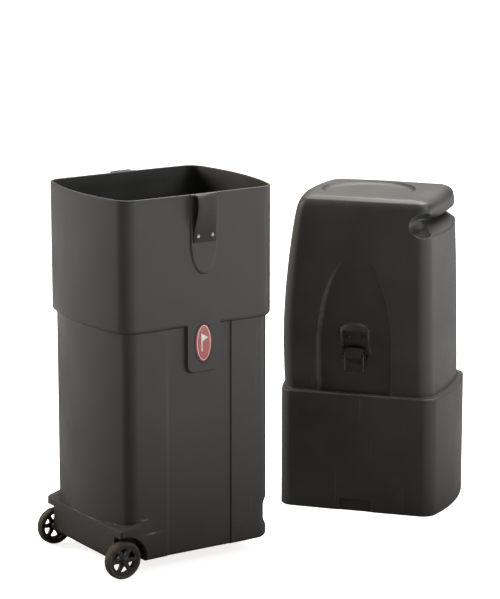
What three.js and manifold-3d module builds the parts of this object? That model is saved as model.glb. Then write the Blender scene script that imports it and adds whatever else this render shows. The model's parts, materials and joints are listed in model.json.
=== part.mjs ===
// Golf travel case in two moulded halves: a tall base on two wheels and the lid that plugs into it.
// The base stands open. The lid stands beside it on its own rim, turned a little, latches facing out.
// Millimetres, +Z up. The origin is on the floor, in the middle of the space both halves take up.
import * as THREE from "three";
import { mergeVertices } from "three/addons/utils/BufferGeometryUtils.js";
import Module from "manifold-3d";

const wasm = await Module();
wasm.setup();

// ---- Driving dimensions ----

const gap = 0.3; // air between pieces that touch
const wall = 4.5; // moulded shell thickness
const baseAt = new THREE.Vector3(-336.6, -67.6, 0);
const lidAt = new THREE.Vector3(342.4, 19.4, 0);
const lidYaw = -50.6; // degrees

const base = {
  height: 880, collarBottom: 582, bottom: 35, halfX: 188.5, halfY: 170.5, corner: 24, bowX: 27, bowY: 3,
};
const collar = { halfX: 198, halfY: 176.5, corner: 28, bowX: 27, bowY: 2.4, lip: 8 };
const skirt = { x: -216, y: 176, corner: 7, top: 115, blend: 150, innerX: -60, innerBow: 27 };
const grip = { low: 62, floorLow: 78, floorHigh: 116, high: 134, depth: 7 };
const panel = { x: -2, halfX: 86, floorY: 169, backY: 164 };
const latchX = 6; // the straps and the tongues sit this far off the middle, away from the wheels
const tongue = { halfX: 44, bottom: 465, corner: 16 };
const pad = { halfX: 35.5, bottom: 695, faceY: 183, round: 80 };
const badge = { halfX: 25.5, halfZ: 48.5, z: 533, rim: 4.2, depth: 2.6 };
const strap = { halfX: 29, thick: 1.8, bottom: 769, joint: 797, top: 882, bulge: 14 };
const rivet = { x: 19, shank: 2.4, head: 4.6, dome: 2.2, tail: 4.2 };

const wheel = { x: -204, y: 160, radius: 44.5, rim: 36, width: 22, tread: 11, well: 55.5, wellY: 142 };
const axle = { radius: 5, halfLength: 174, clearance: 0.3 };
const foot = { x0: 117, x1: 193, halfY: 48, low: 0, high: base.bottom - gap, corner: 10 };
const basePad = { x0: -126, x1: 188, halfY: 148, low: 40.5, high: 64, corner: 48 };

const lid = { halfX: 192, halfY: 168.5, corner: 26, collarTop: 299, bowX: 26.5, bowY: 1.5 };
const lidBow = { bowX: 19, bowY: 2 };
// Sections of the lid above its shoulder: height, ends along x, half depth along y, corner radius.
const lidSections = [
  [299.5, -188, 180, 155, 28],
  [345, -191, 179, 157, 28],
  [440, -193, 177, 157, 28],
  [520, -190, 175.5, 156, 27],
  [600, -183.5, 173.5, 154.5, 26],
  [680, -174, 170.5, 152, 25],
  [740, -164.5, 168, 149, 23],
  [764, -158.5, 166, 145, 21],
  [778, -150, 160.5, 138, 19],
  [786, -135, 148.5, 124, 16],
];
const dish = { x: -17, radius: 117, depth: 8, edge: 12 };
const arch = { halfX: 93, spring: 425, apex: 660, floorY: 148, backY: 139.5, power: 0.62 };
const notch = { x: 8, halfX: 41, top: 29, corner: 6, depth: 4 };
const backing = { halfX: 25, halfZ: 8, thick: 1.2 };
const handle = { noseX: 143, noseZ: 752, noseR: 33, slopeX: 182, slopeZ: 699 };
const scoop = { x: 163, y: -150, z: 733, rx: 41, ry: 62, rz: 37 };

const lidPad = { x0: -135, x1: 105, halfY: 112, low: 742, high: 770, corner: 40 };

const latchLidX = -8; // the latches face the straps when the lid is turned round and closed
const bezel = {
  halfX: 38, inner: 30, low: 403, shoulder: 461, top: 475, barLow: 457, proud: 12, pocketY: 145,
};
const plate = { halfX: 28.6, low: 384, high: 455, thick: 2, ear: 1.5, earR: 6 };
const pin = { y: -157, z: 390, radius: 2.3, halfX: 29.4 };
const lever = {
  halfX: 26.4, bodyX: 20.3, low: 2, cap: 18, high: 27, drop: 7,
  faceY: -7.4, thick: 2.4, cheekX: 18, cheek: 2,
};
const bail = { y: -5, z: 12, legX: 23.4, low: -33, wire: 1.9, prong: 3.4 };
const latchRivetZ = 441;

const black = { color: 0x3a3a3a, roughness: 0.62, metalness: 0 };
const steel = { color: 0xb9b7b2, roughness: 0.35, metalness: 1 };

// ---- Solids ----

function solidOf(geometry) {
  const bare = geometry.index ? geometry.clone() : mergeVertices(geometry.clone());
  bare.deleteAttribute("normal");
  bare.deleteAttribute("uv");
  const merged = mergeVertices(bare, 1e-4);
  return new wasm.Manifold(
    new wasm.Mesh({
      numProp: 3,
      vertProperties: new Float32Array(merged.attributes.position.array),
      triVerts: new Uint32Array(merged.index.array),
    }),
  );
}

function geometryOf(solid) {
  const made = solid.getMesh();
  const geometry = new THREE.BufferGeometry();
  geometry.setAttribute("position", new THREE.BufferAttribute(new Float32Array(made.vertProperties), 3));
  geometry.setIndex(new THREE.BufferAttribute(new Uint32Array(made.triVerts), 1));
  return geometry;
}

const join = (...solids) => solids.reduce((sum, next) => sum.add(next));
const cut = (solid, ...tools) => tools.reduce((left, tool) => left.subtract(tool), solid);

function box(x0, x1, y0, y1, z0, z1) {
  const geometry = new THREE.BoxGeometry(x1 - x0, y1 - y0, z1 - z0);
  geometry.translate((x0 + x1) / 2, (y0 + y1) / 2, (z0 + z1) / 2);
  return solidOf(geometry);
}

// A cylinder from a to b along one axis, through the point given by the other two coordinates.
function rod(axis, radius, a, b, centre, sides = 16) {
  const geometry = new THREE.CylinderGeometry(radius, radius, b - a, sides);
  if (axis === "x") geometry.rotateZ(Math.PI / 2);
  if (axis === "z") geometry.rotateX(Math.PI / 2);
  const middle = (a + b) / 2;
  const [u, v] = centre;
  const place = { x: [middle, u, v], y: [u, middle, v], z: [u, v, middle] }[axis];
  geometry.translate(...place);
  return solidOf(geometry);
}

function extruded(shape, depth, curveSegments) {
  return new THREE.ExtrudeGeometry(shape, { depth, bevelEnabled: false, curveSegments });
}

// An outline drawn as (x, z), extruded from y0 to y1.
function slabY(shape, y0, y1, steps = 12) {
  const geometry = extruded(shape, y1 - y0, steps);
  geometry.rotateX(Math.PI / 2);
  geometry.translate(0, y1, 0);
  return solidOf(geometry);
}

// An outline drawn as (y, z), extruded from x0 to x1.
function slabX(shape, x0, x1, steps = 12) {
  const geometry = extruded(shape, x1 - x0, steps);
  geometry.translate(0, 0, x0);
  const turn = new THREE.Matrix4().makeBasis(
    new THREE.Vector3(0, 1, 0),
    new THREE.Vector3(0, 0, 1),
    new THREE.Vector3(1, 0, 0),
  );
  geometry.applyMatrix4(turn);
  return solidOf(geometry);
}

const polygon = (points) => new THREE.Shape(points.map(([x, y]) => new THREE.Vector2(x, y)));

// ---- Lofted shells ----

const cornerSteps = 5;
const sideSteps = 6;

// A rounded rectangle at height z whose sides bulge out by bowX and bowY in their middle.
function ring({ x0, x1, y0, y1, r, z, bowX = 0, bowY = 0 }) {
  const corners = [
    [x1 - r, y1 - r],
    [x0 + r, y1 - r],
    [x0 + r, y0 + r],
    [x1 - r, y0 + r],
  ];
  const flat = corners.flatMap(([cx, cy], i) =>
    Array.from({ length: cornerSteps + 1 }, (_, k) => {
      const angle = (Math.PI / 2) * (i + k / cornerSteps);
      return [cx + r * Math.cos(angle), cy + r * Math.sin(angle)];
    }),
  );
  const perCorner = cornerSteps + 1;
  const points = [];
  flat.forEach(([x, y], i) => {
    points.push([x, y]);
    if ((i + 1) % perCorner) return;
    const [nx, ny] = flat[(i + 1) % flat.length];
    for (let k = 1; k < sideSteps; k++) {
      const t = k / sideSteps;
      points.push([x + (nx - x) * t, y + (ny - y) * t]);
    }
  });
  const [mx, my] = [(x0 + x1) / 2, (y0 + y1) / 2];
  const [hx, hy] = [(x1 - x0) / 2, (y1 - y0) / 2];
  return points.map(([x, y]) => {
    const [u, v] = [(x - mx) / hx, (y - my) / hy];
    return [x + bowX * u * (1 - v * v), y + bowY * v * (1 - u * u), z];
  });
}

// The solid through a stack of rings, lowest first, with flat ends.
function loft(rings) {
  const n = rings[0].length;
  const position = rings.flat(2);
  const index = [];
  for (let level = 0; level + 1 < rings.length; level++) {
    for (let i = 0; i < n; i++) {
      const a = level * n + i;
      const b = level * n + ((i + 1) % n);
      index.push(a, b, b + n, a, b + n, a + n);
    }
  }
  const last = (rings.length - 1) * n;
  for (let i = 1; i + 1 < n; i++) {
    index.push(0, i + 1, i);
    index.push(last, last + i, last + i + 1);
  }
  const geometry = new THREE.BufferGeometry();
  geometry.setAttribute("position", new THREE.Float32BufferAttribute(position, 3));
  geometry.setIndex(index);
  return solidOf(geometry);
}

const symmetric = (halfX, halfY) => ({ x0: -halfX, x1: halfX, y0: -halfY, y1: halfY });

// ---- Base shell ----

const collarBow = { bowX: collar.bowX, bowY: collar.bowY };
const bodyBow = { bowX: base.bowX, bowY: base.bowY };

function collarRing(z, inset) {
  const size = symmetric(collar.halfX - inset, collar.halfY - inset);
  return ring({ ...size, r: collar.corner - inset, z, ...collarBow });
}

function bodyRing(z, inset, dent = 0) {
  const size = symmetric(base.halfX - inset, base.halfY - inset);
  size.x1 -= dent;
  return ring({ ...size, r: base.corner - inset, z, ...bodyBow });
}

function baseBody(inset, low, high) {
  const rings = [
    bodyRing(low, inset + 9),
    bodyRing(low + 4, inset + 3),
    bodyRing(low + 12, inset),
    bodyRing(grip.low, inset),
    bodyRing(grip.floorLow, inset, grip.depth),
    bodyRing(grip.floorHigh, inset, grip.depth),
    bodyRing(grip.high, inset),
    bodyRing(high, inset),
  ];
  return loft(rings);
}

function baseCollar() {
  const z = base.collarBottom;
  return loft([
    collarRing(z - collar.lip, collar.lip),
    collarRing(z - collar.lip / 2, collar.lip / 3),
    collarRing(z + 2, 0),
    collarRing(base.height, 0),
  ]);
}

// The square shouldered block round the wheels: its top slopes up to the rounded corners of the body.
function skirtBlock() {
  const square = { x0: skirt.x, x1: skirt.innerX, y0: -skirt.y, y1: skirt.y, r: skirt.corner };
  const [innerX, innerY] = [base.halfX - 3, base.halfY - 1];
  const inner = { x0: -innerX, x1: skirt.innerX, y0: -innerY, y1: innerY, r: base.corner };
  return loft([
    ring({ ...square, x0: skirt.x + 6, y0: -skirt.y + 6, y1: skirt.y - 6, z: base.bottom }),
    ring({ ...square, z: base.bottom + 8 }),
    ring({ ...square, z: skirt.top }),
    ring({ ...inner, z: skirt.blend, bowX: skirt.innerBow }),
  ]);
}

function turned(solid) {
  const geometry = geometryOf(solid);
  geometry.translate(-latchX, 0, 0);
  geometry.rotateZ(Math.PI);
  geometry.translate(latchX, 0, 0);
  return solidOf(geometry);
}

const bothSides = (solid) => join(solid, turned(solid));

function tongueSlab() {
  const { halfX, bottom, corner } = tongue;
  const shape = new THREE.Shape();
  shape.moveTo(latchX - halfX, base.collarBottom + 20);
  shape.lineTo(latchX - halfX, bottom + corner);
  shape.absarc(latchX - halfX + corner, bottom + corner, corner, Math.PI, 1.5 * Math.PI);
  shape.absarc(latchX + halfX - corner, bottom + corner, corner, 1.5 * Math.PI, 2 * Math.PI);
  shape.lineTo(latchX + halfX, base.collarBottom + 20);
  return slabY(shape, -collar.halfY - 1.5, -panel.floorY + 2, 4);
}

function padSlab() {
  const shape = new THREE.Shape();
  shape.moveTo(latchX + pad.halfX, base.height);
  shape.lineTo(latchX - pad.halfX, base.height);
  shape.lineTo(latchX - pad.halfX, pad.bottom + pad.round);
  shape.absellipse(latchX, pad.bottom + pad.round, pad.halfX, pad.round, Math.PI, 2 * Math.PI);
  return slabY(shape, -pad.faceY, -collar.halfY + 2, 14);
}

function panelCuts() {
  const { x, halfX, floorY } = panel;
  const sides = [-1, 1].map((s) => {
    const [a, b] = s < 0 ? [-floorY - 40, -floorY] : [floorY, floorY + 40];
    return box(x - halfX, x + halfX, a, b, 0, base.collarBottom);
  });
  return join(...sides);
}

function baseCavity() {
  const { x, halfX, backY } = panel;
  const lower = loft([
    bodyRing(base.bottom + wall, wall + 6),
    bodyRing(base.bottom + wall + 8, wall),
    bodyRing(grip.low, wall, grip.depth),
    bodyRing(grip.high, wall, grip.depth),
    bodyRing(base.collarBottom + 1, wall),
  ]);
  const upper = loft([collarRing(base.collarBottom, wall), collarRing(base.height + 5, wall)]);
  const backs = [-1, 1].map((s) => {
    const [a, b] = s < 0 ? [-backY - 40, -backY] : [backY, backY + 40];
    return box(x - halfX - wall, x + halfX + wall, a, b, 0, base.collarBottom);
  });
  return join(cut(lower, ...backs, ...wellHousings()), upper);
}

// Room that the cavity leaves for the wheel wells and for the axle's groove.
function wellHousings() {
  const x = wheel.x + wheel.well + 2 * wall;
  const top = wheel.radius + wheel.well + 1.5 * wall;
  const inner = wheel.wellY - wall;
  return [
    box(-300, x, -300, -inner, 0, top),
    box(-300, x, inner, 300, 0, top),
    box(-300, wheel.x + axle.radius + 2 * wall, -300, 300, 0, wheel.radius + axle.radius + 2 * wall),
  ];
}

function wheelCuts() {
  const centre = [wheel.x, wheel.radius];
  const wells = [-1, 1].map((s) => {
    const [a, b] = s < 0 ? [-200, -wheel.wellY] : [wheel.wellY, 200];
    return rod("y", wheel.well, a, b, centre, 48);
  });
  const bore = rod("y", axle.radius + axle.clearance, -200, 200, centre);
  const groove = axle.radius + 3;
  const inner = wheel.wellY - 2 * wall;
  const slot = box(wheel.x - groove, wheel.x + groove, -inner, inner, 0, wheel.radius + groove);
  return [...wells, bore, slot];
}

function rivetHoles(y0, y1, z, x) {
  return [-1, 1].map((s) => rod("y", rivet.shank + gap, y0, y1, [x + s * rivet.x, z], 8));
}

const strapRivetZ = 784;

function baseShell() {
  const body = cut(join(baseBody(0, base.bottom, base.collarBottom), skirtBlock()), panelCuts());
  const outside = join(body, baseCollar(), bothSides(tongueSlab()), bothSides(padSlab()));
  const holes = rivetHoles(-200, 200, strapRivetZ, latchX);
  const badgeSeat = ovalSlab(0, -collar.halfY - 3, -collar.halfY);
  return cut(outside, baseCavity(), ...wheelCuts(), ...holes, badgeSeat);
}

// ---- Badge ----

// An upright oval on the tongue, shrunk all round by inset.
function ovalSlab(inset, y0, y1) {
  const shape = new THREE.Shape();
  shape.absellipse(latchX, badge.z, badge.halfX - inset, badge.halfZ - inset, 0, 2 * Math.PI);
  return slabY(shape, y0, y1, 14);
}

const badgeBack = -collar.halfY - gap;

function badgeRim() {
  const ringSlab = ovalSlab(gap, badgeBack - badge.depth, badgeBack);
  return cut(ringSlab, ovalSlab(badge.rim, badgeBack - badge.depth - 1, badgeBack - 1));
}

function badgeFace() {
  return ovalSlab(badge.rim + gap, badgeBack - badge.depth + 0.6, badgeBack - 1 - gap);
}

// A plain pennant on a pole, lying on the badge's face.
function badgeMark() {
  const y = badgeBack - badge.depth + 0.6 - gap;
  const pole = polygon([[-7, -20], [-4.4, -20], [-4.4, 22], [-7, 22]]);
  const flag = polygon([[-5, 21], [-5, 3], [11, 12]]);
  const mark = join(slabY(pole, y - 0.7, y), slabY(flag, y - 0.7, y));
  const geometry = geometryOf(mark);
  geometry.translate(latchX, 0, badge.z);
  return solidOf(geometry);
}

// ---- Straps, in a frame whose x is 0 on the latch line and whose -y points out of the case ----

function strapTail() {
  const face = -pad.faceY - gap;
  const tail = box(-strap.halfX, strap.halfX, face - 2 * strap.thick, face, strap.bottom, strap.joint);
  return cut(tail, ...rivetHoles(-200, 0, strapRivetZ, 0));
}

// The webbing's side view: up flat along the pad, over, and down in a bulge.
function strapLoop() {
  const back = -pad.faceY - gap;
  const low = strap.joint + gap;
  const { top, thick, bulge } = strap;
  const front = back - 2 * thick;
  const outline = new THREE.Shape();
  outline.moveTo(back, low);
  outline.lineTo(back, top - 6);
  outline.quadraticCurveTo(back - 1, top, back - 7, top);
  outline.bezierCurveTo(front - bulge, top - 2, front - bulge - 3, low + 34, front, low);
  const hole = new THREE.Path();
  hole.moveTo(back - thick, low + 6);
  hole.lineTo(back - thick, top - 7);
  hole.quadraticCurveTo(back - thick - 1, top - thick, back - 7, top - thick);
  hole.bezierCurveTo(front - bulge + 2, top - 4, front - bulge - 1, low + 38, back - thick - 0.5, low + 6);
  outline.holes.push(hole);
  return slabX(outline, -strap.halfX, strap.halfX, 8);
}

// A rivet along y: its head lies on the face at headY and its set tail on the inner face at tailY.
function rivetSolid(x, z, headY, tailY) {
  const at = [x, z];
  return join(
    rod("y", rivet.head, headY - gap - 1.2, headY - gap, at, 12),
    rod("y", rivet.head * 0.7, headY - gap - rivet.dome, headY - gap - 1, at, 12),
    rod("y", rivet.shank, headY - gap - 1, tailY + gap + 1, at, 8),
    rod("y", rivet.tail, tailY + gap, tailY + gap + 1, at, 12),
  );
}

const collarInnerY = -collar.halfY - collar.bowY + wall;

function strapWasher(side) {
  const at = [side * rivet.x, strapRivetZ];
  const disc = rod("y", 7, collarInnerY + gap, collarInnerY + gap + 1, at, 12);
  return cut(disc, ...rivetHoles(-200, 0, strapRivetZ, 0));
}

function strapRivet(side) {
  const head = -pad.faceY - gap - 2 * strap.thick;
  return rivetSolid(side * rivet.x, strapRivetZ, head, collarInnerY + gap + 1);
}

// ---- Wheels, in a frame centred on the hub whose axis is y ----

function lathe(profile, sides) {
  const points = profile.map(([x, y]) => new THREE.Vector2(x, y));
  return solidOf(new THREE.LatheGeometry(points, sides));
}

function tyre() {
  const { rim, radius, width, tread } = wheel;
  const [side, shoulder, mid] = [width / 2, tread / 2, (rim + radius) / 2];
  const half = [[rim, side - 1.5], [mid, side], [radius - 2, shoulder + 3], [radius, shoulder]];
  const other = half.map(([r, y]) => [r, -y]).reverse();
  return lathe([...half, ...other, half[0]].reverse(), 32);
}

// One opening between two spokes: a triangle with soft corners, its broad side to the rim.
function spokeOpening(angle) {
  const at = (r, degrees) => {
    const a = angle + THREE.MathUtils.degToRad(degrees);
    return [r * Math.cos(a), r * Math.sin(a)];
  };
  const spread = 17;
  const path = new THREE.Path();
  path.moveTo(...at(13.5, -9));
  path.lineTo(...at(26, -spread - 4));
  path.quadraticCurveTo(...at(29, -spread - 5), ...at(29.5, -spread));
  const turn = THREE.MathUtils.degToRad(spread);
  path.absarc(0, 0, 29.5, angle - turn, angle + turn);
  path.quadraticCurveTo(...at(29, spread + 5), ...at(26, spread + 4));
  path.lineTo(...at(13.5, 9));
  path.quadraticCurveTo(...at(12, 0), ...at(13.5, -9));
  return path;
}

function hub(outward) {
  const web = new THREE.Shape();
  const webSides = 24;
  for (let i = 0; i < webSides; i++) {
    const a = (2 * Math.PI * i) / webSides;
    const point = [(wheel.rim - 2) * Math.cos(a), (wheel.rim - 2) * Math.sin(a)];
    if (i) web.lineTo(...point);
    else web.moveTo(...point);
  }
  const spokes = 6;
  for (let i = 0; i < spokes; i++) web.holes.push(spokeOpening((2 * Math.PI * (i + 0.5)) / spokes));
  const [a, b] = outward < 0 ? [-8.5, -2.5] : [2.5, 8.5];
  const outer = wheel.rim - gap;
  const band = cut(rod("y", outer, -9.5, 9.5, [0, 0], 32), rod("y", outer - 4, -10, 10, [0, 0], 32));
  const boss = rod("y", 9.5, -wheel.width / 2, wheel.width / 2, [0, 0], 16);
  const bore = rod("y", axle.radius + axle.clearance, -20, 20, [0, 0], 16);
  return cut(join(slabY(web, a, b, 3), band, boss), bore);
}

function axleRod() {
  return rod("y", axle.radius, -axle.halfLength, axle.halfLength, [wheel.x, wheel.radius]);
}

function axleCap() {
  const inner = wheel.y + wheel.width / 2 + gap;
  const outer = axle.halfLength + 2.5;
  const centre = [0, 0];
  const shell = join(rod("y", 8.5, inner, outer - 1.5, centre), rod("y", 6.5, outer - 2, outer, centre));
  return cut(shell, rod("y", axle.radius + gap, inner - 1, axle.halfLength + gap, centre));
}

function axleSpacer() {
  const centre = [0, 0];
  const length = [wheel.wellY + gap, wheel.y - wheel.width / 2 - gap];
  const tube = rod("y", 9, ...length, centre);
  return cut(tube, rod("y", axle.radius + gap, 0, 200, centre));
}

// ---- Lid shell ----

function lidCollarRing(z, inset) {
  const size = symmetric(lid.halfX - inset, lid.halfY - inset);
  return ring({ ...size, r: lid.corner - inset, z, bowX: lid.bowX, bowY: lid.bowY });
}

function lidRing([z, x0, x1, halfY, r], inset) {
  const size = { x0: x0 + inset, x1: x1 - inset, y0: inset - halfY, y1: halfY - inset };
  return ring({ ...size, r: Math.max(r - inset, 8), z, ...lidBow });
}

function lidOutside() {
  const top = lid.collarTop;
  return loft([
    lidCollarRing(0, 1.5),
    lidCollarRing(2, 0),
    lidCollarRing(top - 5, 0),
    lidCollarRing(top - 1.5, 1),
    lidCollarRing(top, 3.5),
    ...lidSections.map((section) => lidRing(section, 0)),
  ]);
}

function archShape(grow, low) {
  const steps = 8;
  const height = arch.apex - arch.spring;
  const halfX = arch.halfX + grow;
  const right = Array.from({ length: steps + 1 }, (_, i) => {
    const t = i / steps;
    return [halfX * (1 - t * t) ** arch.power, arch.spring + (height + grow) * t];
  });
  const left = right.slice(0, -1).reverse().map(([x, z]) => [-x, z]);
  return polygon([[-halfX, low], [halfX, low], ...right, ...left]);
}

function lidCavity() {
  const low = loft([lidCollarRing(-1, wall), lidCollarRing(lid.collarTop - wall, wall)]);
  const sections = lidSections.slice(0, -3).map((section) => lidRing(section, wall));
  const first = lidRing([lid.collarTop - wall - 1, ...lidSections[0].slice(1)], wall);
  const [, x0, x1, halfY, r] = lidSections.at(-3);
  const high = loft([first, ...sections, lidRing([771, x0, x1, halfY, r], wall + 12)]);
  const handleRoom = box(handle.noseX - 30, 300, -300, 300, 688, 800);
  const archBack = slabY(archShape(wall, lid.collarTop - wall), -200, -arch.backY);
  return join(low, cut(high, handleRoom, ...lidFaces(archBack)));
}

// The same solid on both broad faces of the lid: it is drawn with x = 0 on the latch line, facing -y.
function lidFaces(solid) {
  const front = geometryOf(solid);
  const back = front.clone().rotateZ(Math.PI);
  return [front, back].map((geometry) => solidOf(geometry.translate(latchLidX, 0, 0)));
}

// The hand groove under the nose: it runs the whole depth of the lid on its handle end.
function handleGroove() {
  const { noseX, noseZ, noseR, slopeX, slopeZ } = handle;
  const shape = new THREE.Shape();
  shape.moveTo(noseX + noseR, noseZ + noseR + 10);
  shape.lineTo(noseX + noseR, noseZ);
  shape.absarc(noseX, noseZ, noseR, 0, -Math.PI / 2, true);
  shape.lineTo(noseX - 4, noseZ - noseR - 3);
  shape.lineTo(slopeX, slopeZ);
  shape.lineTo(300, slopeZ - 20);
  shape.lineTo(300, noseZ + noseR + 10);
  return slabY(shape, -200, 200, 6);
}

function noseRound() {
  const { noseX, noseZ, noseR } = handle;
  const shape = new THREE.Shape();
  shape.moveTo(noseX + noseR + 20, noseZ);
  shape.lineTo(noseX + noseR, noseZ);
  shape.absarc(noseX, noseZ, noseR, 0, Math.PI / 2);
  shape.lineTo(noseX, noseZ + noseR + 20);
  shape.lineTo(noseX + noseR + 20, noseZ + noseR + 20);
  return slabY(shape, -200, 200, 6);
}

function scoopSolid() {
  const geometry = new THREE.SphereGeometry(1, 14, 10);
  geometry.scale(scoop.rx, scoop.ry, scoop.rz);
  geometry.translate(scoop.x, scoop.y, scoop.z);
  return solidOf(geometry);
}

function dishSolid() {
  const top = lidSections.at(-1)[0];
  const profile = [
    [0, -dish.depth],
    [dish.radius - dish.edge, -dish.depth],
    [dish.radius - 4, -dish.depth * 0.5],
    [dish.radius, 0],
    [dish.radius, 5],
    [0, 5],
  ].map(([x, y]) => new THREE.Vector2(x, y));
  const geometry = new THREE.LatheGeometry(profile, 36);
  geometry.rotateX(Math.PI / 2);
  geometry.translate(dish.x, 0, top);
  return solidOf(geometry);
}

function bezelSolid() {
  const { halfX, inner, low, shoulder, top, barLow, proud } = bezel;
  const outline = new THREE.Shape();
  outline.moveTo(-halfX, low);
  outline.lineTo(-halfX, shoulder);
  outline.bezierCurveTo(-halfX * 0.8, top, -halfX * 0.3, top, 0, top);
  outline.bezierCurveTo(halfX * 0.3, top, halfX * 0.8, top, halfX, shoulder);
  outline.lineTo(halfX, low);
  outline.lineTo(inner, low);
  outline.lineTo(inner, barLow);
  outline.lineTo(-inner, barLow);
  outline.lineTo(-inner, low);
  const floor = -arch.floorY;
  const side = polygon([
    [floor + 1, low - 2],
    [floor + 1, top + 5],
    [floor - proud + 4, top + 5],
    [floor - proud, barLow + 6],
    [floor - proud, barLow - 20],
    [floor - 1, low - 2],
  ]);
  const frame = slabY(outline, floor - proud - 2, floor + 1, 6);
  return frame.intersect(slabX(side, -halfX - 1, halfX + 1));
}

function notchSolid() {
  const { x, halfX, top, corner, depth } = notch;
  const shape = new THREE.Shape();
  shape.moveTo(x - halfX, -10);
  shape.lineTo(x + halfX, -10);
  shape.lineTo(x + halfX, top - corner);
  shape.absarc(x + halfX - corner, top - corner, corner, 0, Math.PI / 2);
  shape.absarc(x - halfX + corner, top - corner, corner, Math.PI / 2, Math.PI);
  return slabY(shape, -300, -lid.halfY - lid.bowY + depth, 4);
}

function lidShell() {
  const archFront = slabY(archShape(0, lid.collarTop), -300, -arch.floorY);
  const hollow = cut(lidOutside(), lidCavity());
  const shaped = cut(hollow, handleGroove(), noseRound(), scoopSolid(), dishSolid());
  const framed = join(cut(shaped, ...lidFaces(archFront)), ...lidFaces(bezelSolid()));
  const pocket = box(-bezel.inner, bezel.inner, -170, -bezel.pocketY, pin.z - 12, bezel.barLow);
  const holes = join(...rivetHoles(-200, 0, latchRivetZ, 0));
  return cut(framed, ...lidFaces(pocket), ...lidFaces(notchSolid()), ...lidFaces(holes));
}

// ---- Latch, drawn with x = 0 on the latch line, facing -y ----

const plateY = -bezel.pocketY - gap;

function latchPlate() {
  const { halfX, low, high, thick, ear, earR } = plate;
  const sheet = box(-halfX, halfX, plateY - thick, plateY, low, high);
  const ears = [-1, 1].map((s) => {
    const [a, b] = s < 0 ? [-halfX, ear - halfX] : [halfX - ear, halfX];
    const web = box(a, b, pin.y, plateY - thick / 2, pin.z - earR, pin.z + earR);
    return join(web, rod("x", earR, a, b, [pin.y, pin.z]));
  });
  const bore = rod("x", pin.radius + gap, -40, 40, [pin.y, pin.z], 10);
  return cut(join(sheet, ...ears), bore, ...rivetHoles(-200, 0, latchRivetZ, 0));
}

function backingPlate() {
  const { halfX, halfZ, thick } = backing;
  const y = -arch.backY + gap;
  const sheet = box(-halfX, halfX, y, y + thick, latchRivetZ - halfZ, latchRivetZ + halfZ);
  return cut(sheet, ...rivetHoles(-200, 0, latchRivetZ, 0));
}

function latchRivet(side) {
  const tail = -arch.backY + gap + backing.thick;
  return rivetSolid(side * rivet.x, latchRivetZ, plateY - plate.thick, tail);
}

const latchPin = () => rod("x", pin.radius, -pin.halfX, pin.halfX, [pin.y, pin.z], 12);

// A narrow body with a broad arched thumb edge on top, and two cheeks that carry the pin and the bail.
function latchLever() {
  const { halfX, bodyX, low, cap, high, drop, faceY, thick, cheekX, cheek } = lever;
  const shape = new THREE.Shape();
  shape.moveTo(-bodyX, pin.z + low);
  shape.lineTo(bodyX, pin.z + low);
  shape.lineTo(bodyX, pin.z + cap);
  shape.lineTo(halfX, pin.z + cap);
  shape.lineTo(halfX, pin.z + high - drop);
  shape.bezierCurveTo(halfX * 0.8, pin.z + high, halfX * 0.3, pin.z + high, 0, pin.z + high);
  shape.bezierCurveTo(-halfX * 0.3, pin.z + high, -halfX * 0.8, pin.z + high, -halfX, pin.z + high - drop);
  shape.lineTo(-halfX, pin.z + cap);
  shape.lineTo(-bodyX, pin.z + cap);
  const faceOut = pin.y + faceY - thick;
  const face = slabY(shape, faceOut, pin.y + faceY, 6);
  const cheeks = [-1, 1].map((s) => {
    const [a, b] = s < 0 ? [-cheekX - cheek, -cheekX] : [cheekX, cheekX + cheek];
    const web = box(a, b, pin.y + faceY - 0.5, pin.y + 5, pin.z + low, pin.z + bail.z + 5);
    return join(web, rod("x", 5.5, a, b, [pin.y, pin.z]));
  });
  const pinBore = rod("x", pin.radius + gap, -40, 40, [pin.y, pin.z], 10);
  const bailBore = rod("x", bail.wire + gap, -40, 40, [pin.y + bail.y, pin.z + bail.z], 10);
  return cut(join(face, ...cheeks), pinBore, bailBore);
}

// Bent wire: a bar through the lever, two legs, and two short prongs that hold the strap's loop.
function latchBail() {
  const { legX, low, prong, wire } = bail;
  const [y, top, bottom] = [pin.y + bail.y, pin.z + bail.z, pin.z + low];
  const sides = 10;
  const bar = rod("x", wire, -legX - wire, legX + wire, [y, top], sides);
  const legs = [-legX, legX].map((x) => rod("z", wire, bottom, top, [x, y], sides));
  const prongs = [
    rod("x", wire, -legX - wire, -prong, [y, bottom], sides),
    rod("x", wire, prong, legX + wire, [y, bottom], sides),
  ];
  return join(bar, ...legs, ...prongs);
}

// ---- Pads and foot ----

function padBlock({ x0, x1, halfY, low, high, corner }) {
  const size = { x0, x1, y0: -halfY, y1: halfY, r: corner };
  return loft([ring({ ...size, z: low }), ring({ ...size, z: high })]);
}

// ---- Assembly ----

function mesh(name, solid, look) {
  const geometry = geometryOf(solid);
  geometry.computeVertexNormals();
  const made = new THREE.Mesh(geometry, new THREE.MeshStandardMaterial(look));
  made.name = name;
  return made;
}

const looks = {
  shell: black,
  steel,
  blackSteel: { color: 0x232323, roughness: 0.4, metalness: 1 },
  webbing: { color: 0x1d1c1b, roughness: 0.9, metalness: 0 },
  tyre: { color: 0x46423c, roughness: 0.8, metalness: 0 },
  hub: { color: 0x2b2b2b, roughness: 0.5, metalness: 0 },
  foam: { color: 0x55575a, roughness: 0.95, metalness: 0 },
  badgeBlack: { color: 0x111111, roughness: 0.35, metalness: 0 },
  badgeRed: { color: 0xa3181b, roughness: 0.3, metalness: 0 },
  badgeWhite: { color: 0xe9e6e2, roughness: 0.3, metalness: 0 },
};

const caseGroup = new THREE.Group();
const baseGroup = new THREE.Group();
const lidGroup = new THREE.Group();
baseGroup.position.copy(baseAt);
lidGroup.position.copy(lidAt);
lidGroup.rotation.z = THREE.MathUtils.degToRad(lidYaw);
caseGroup.add(baseGroup, lidGroup);

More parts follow.
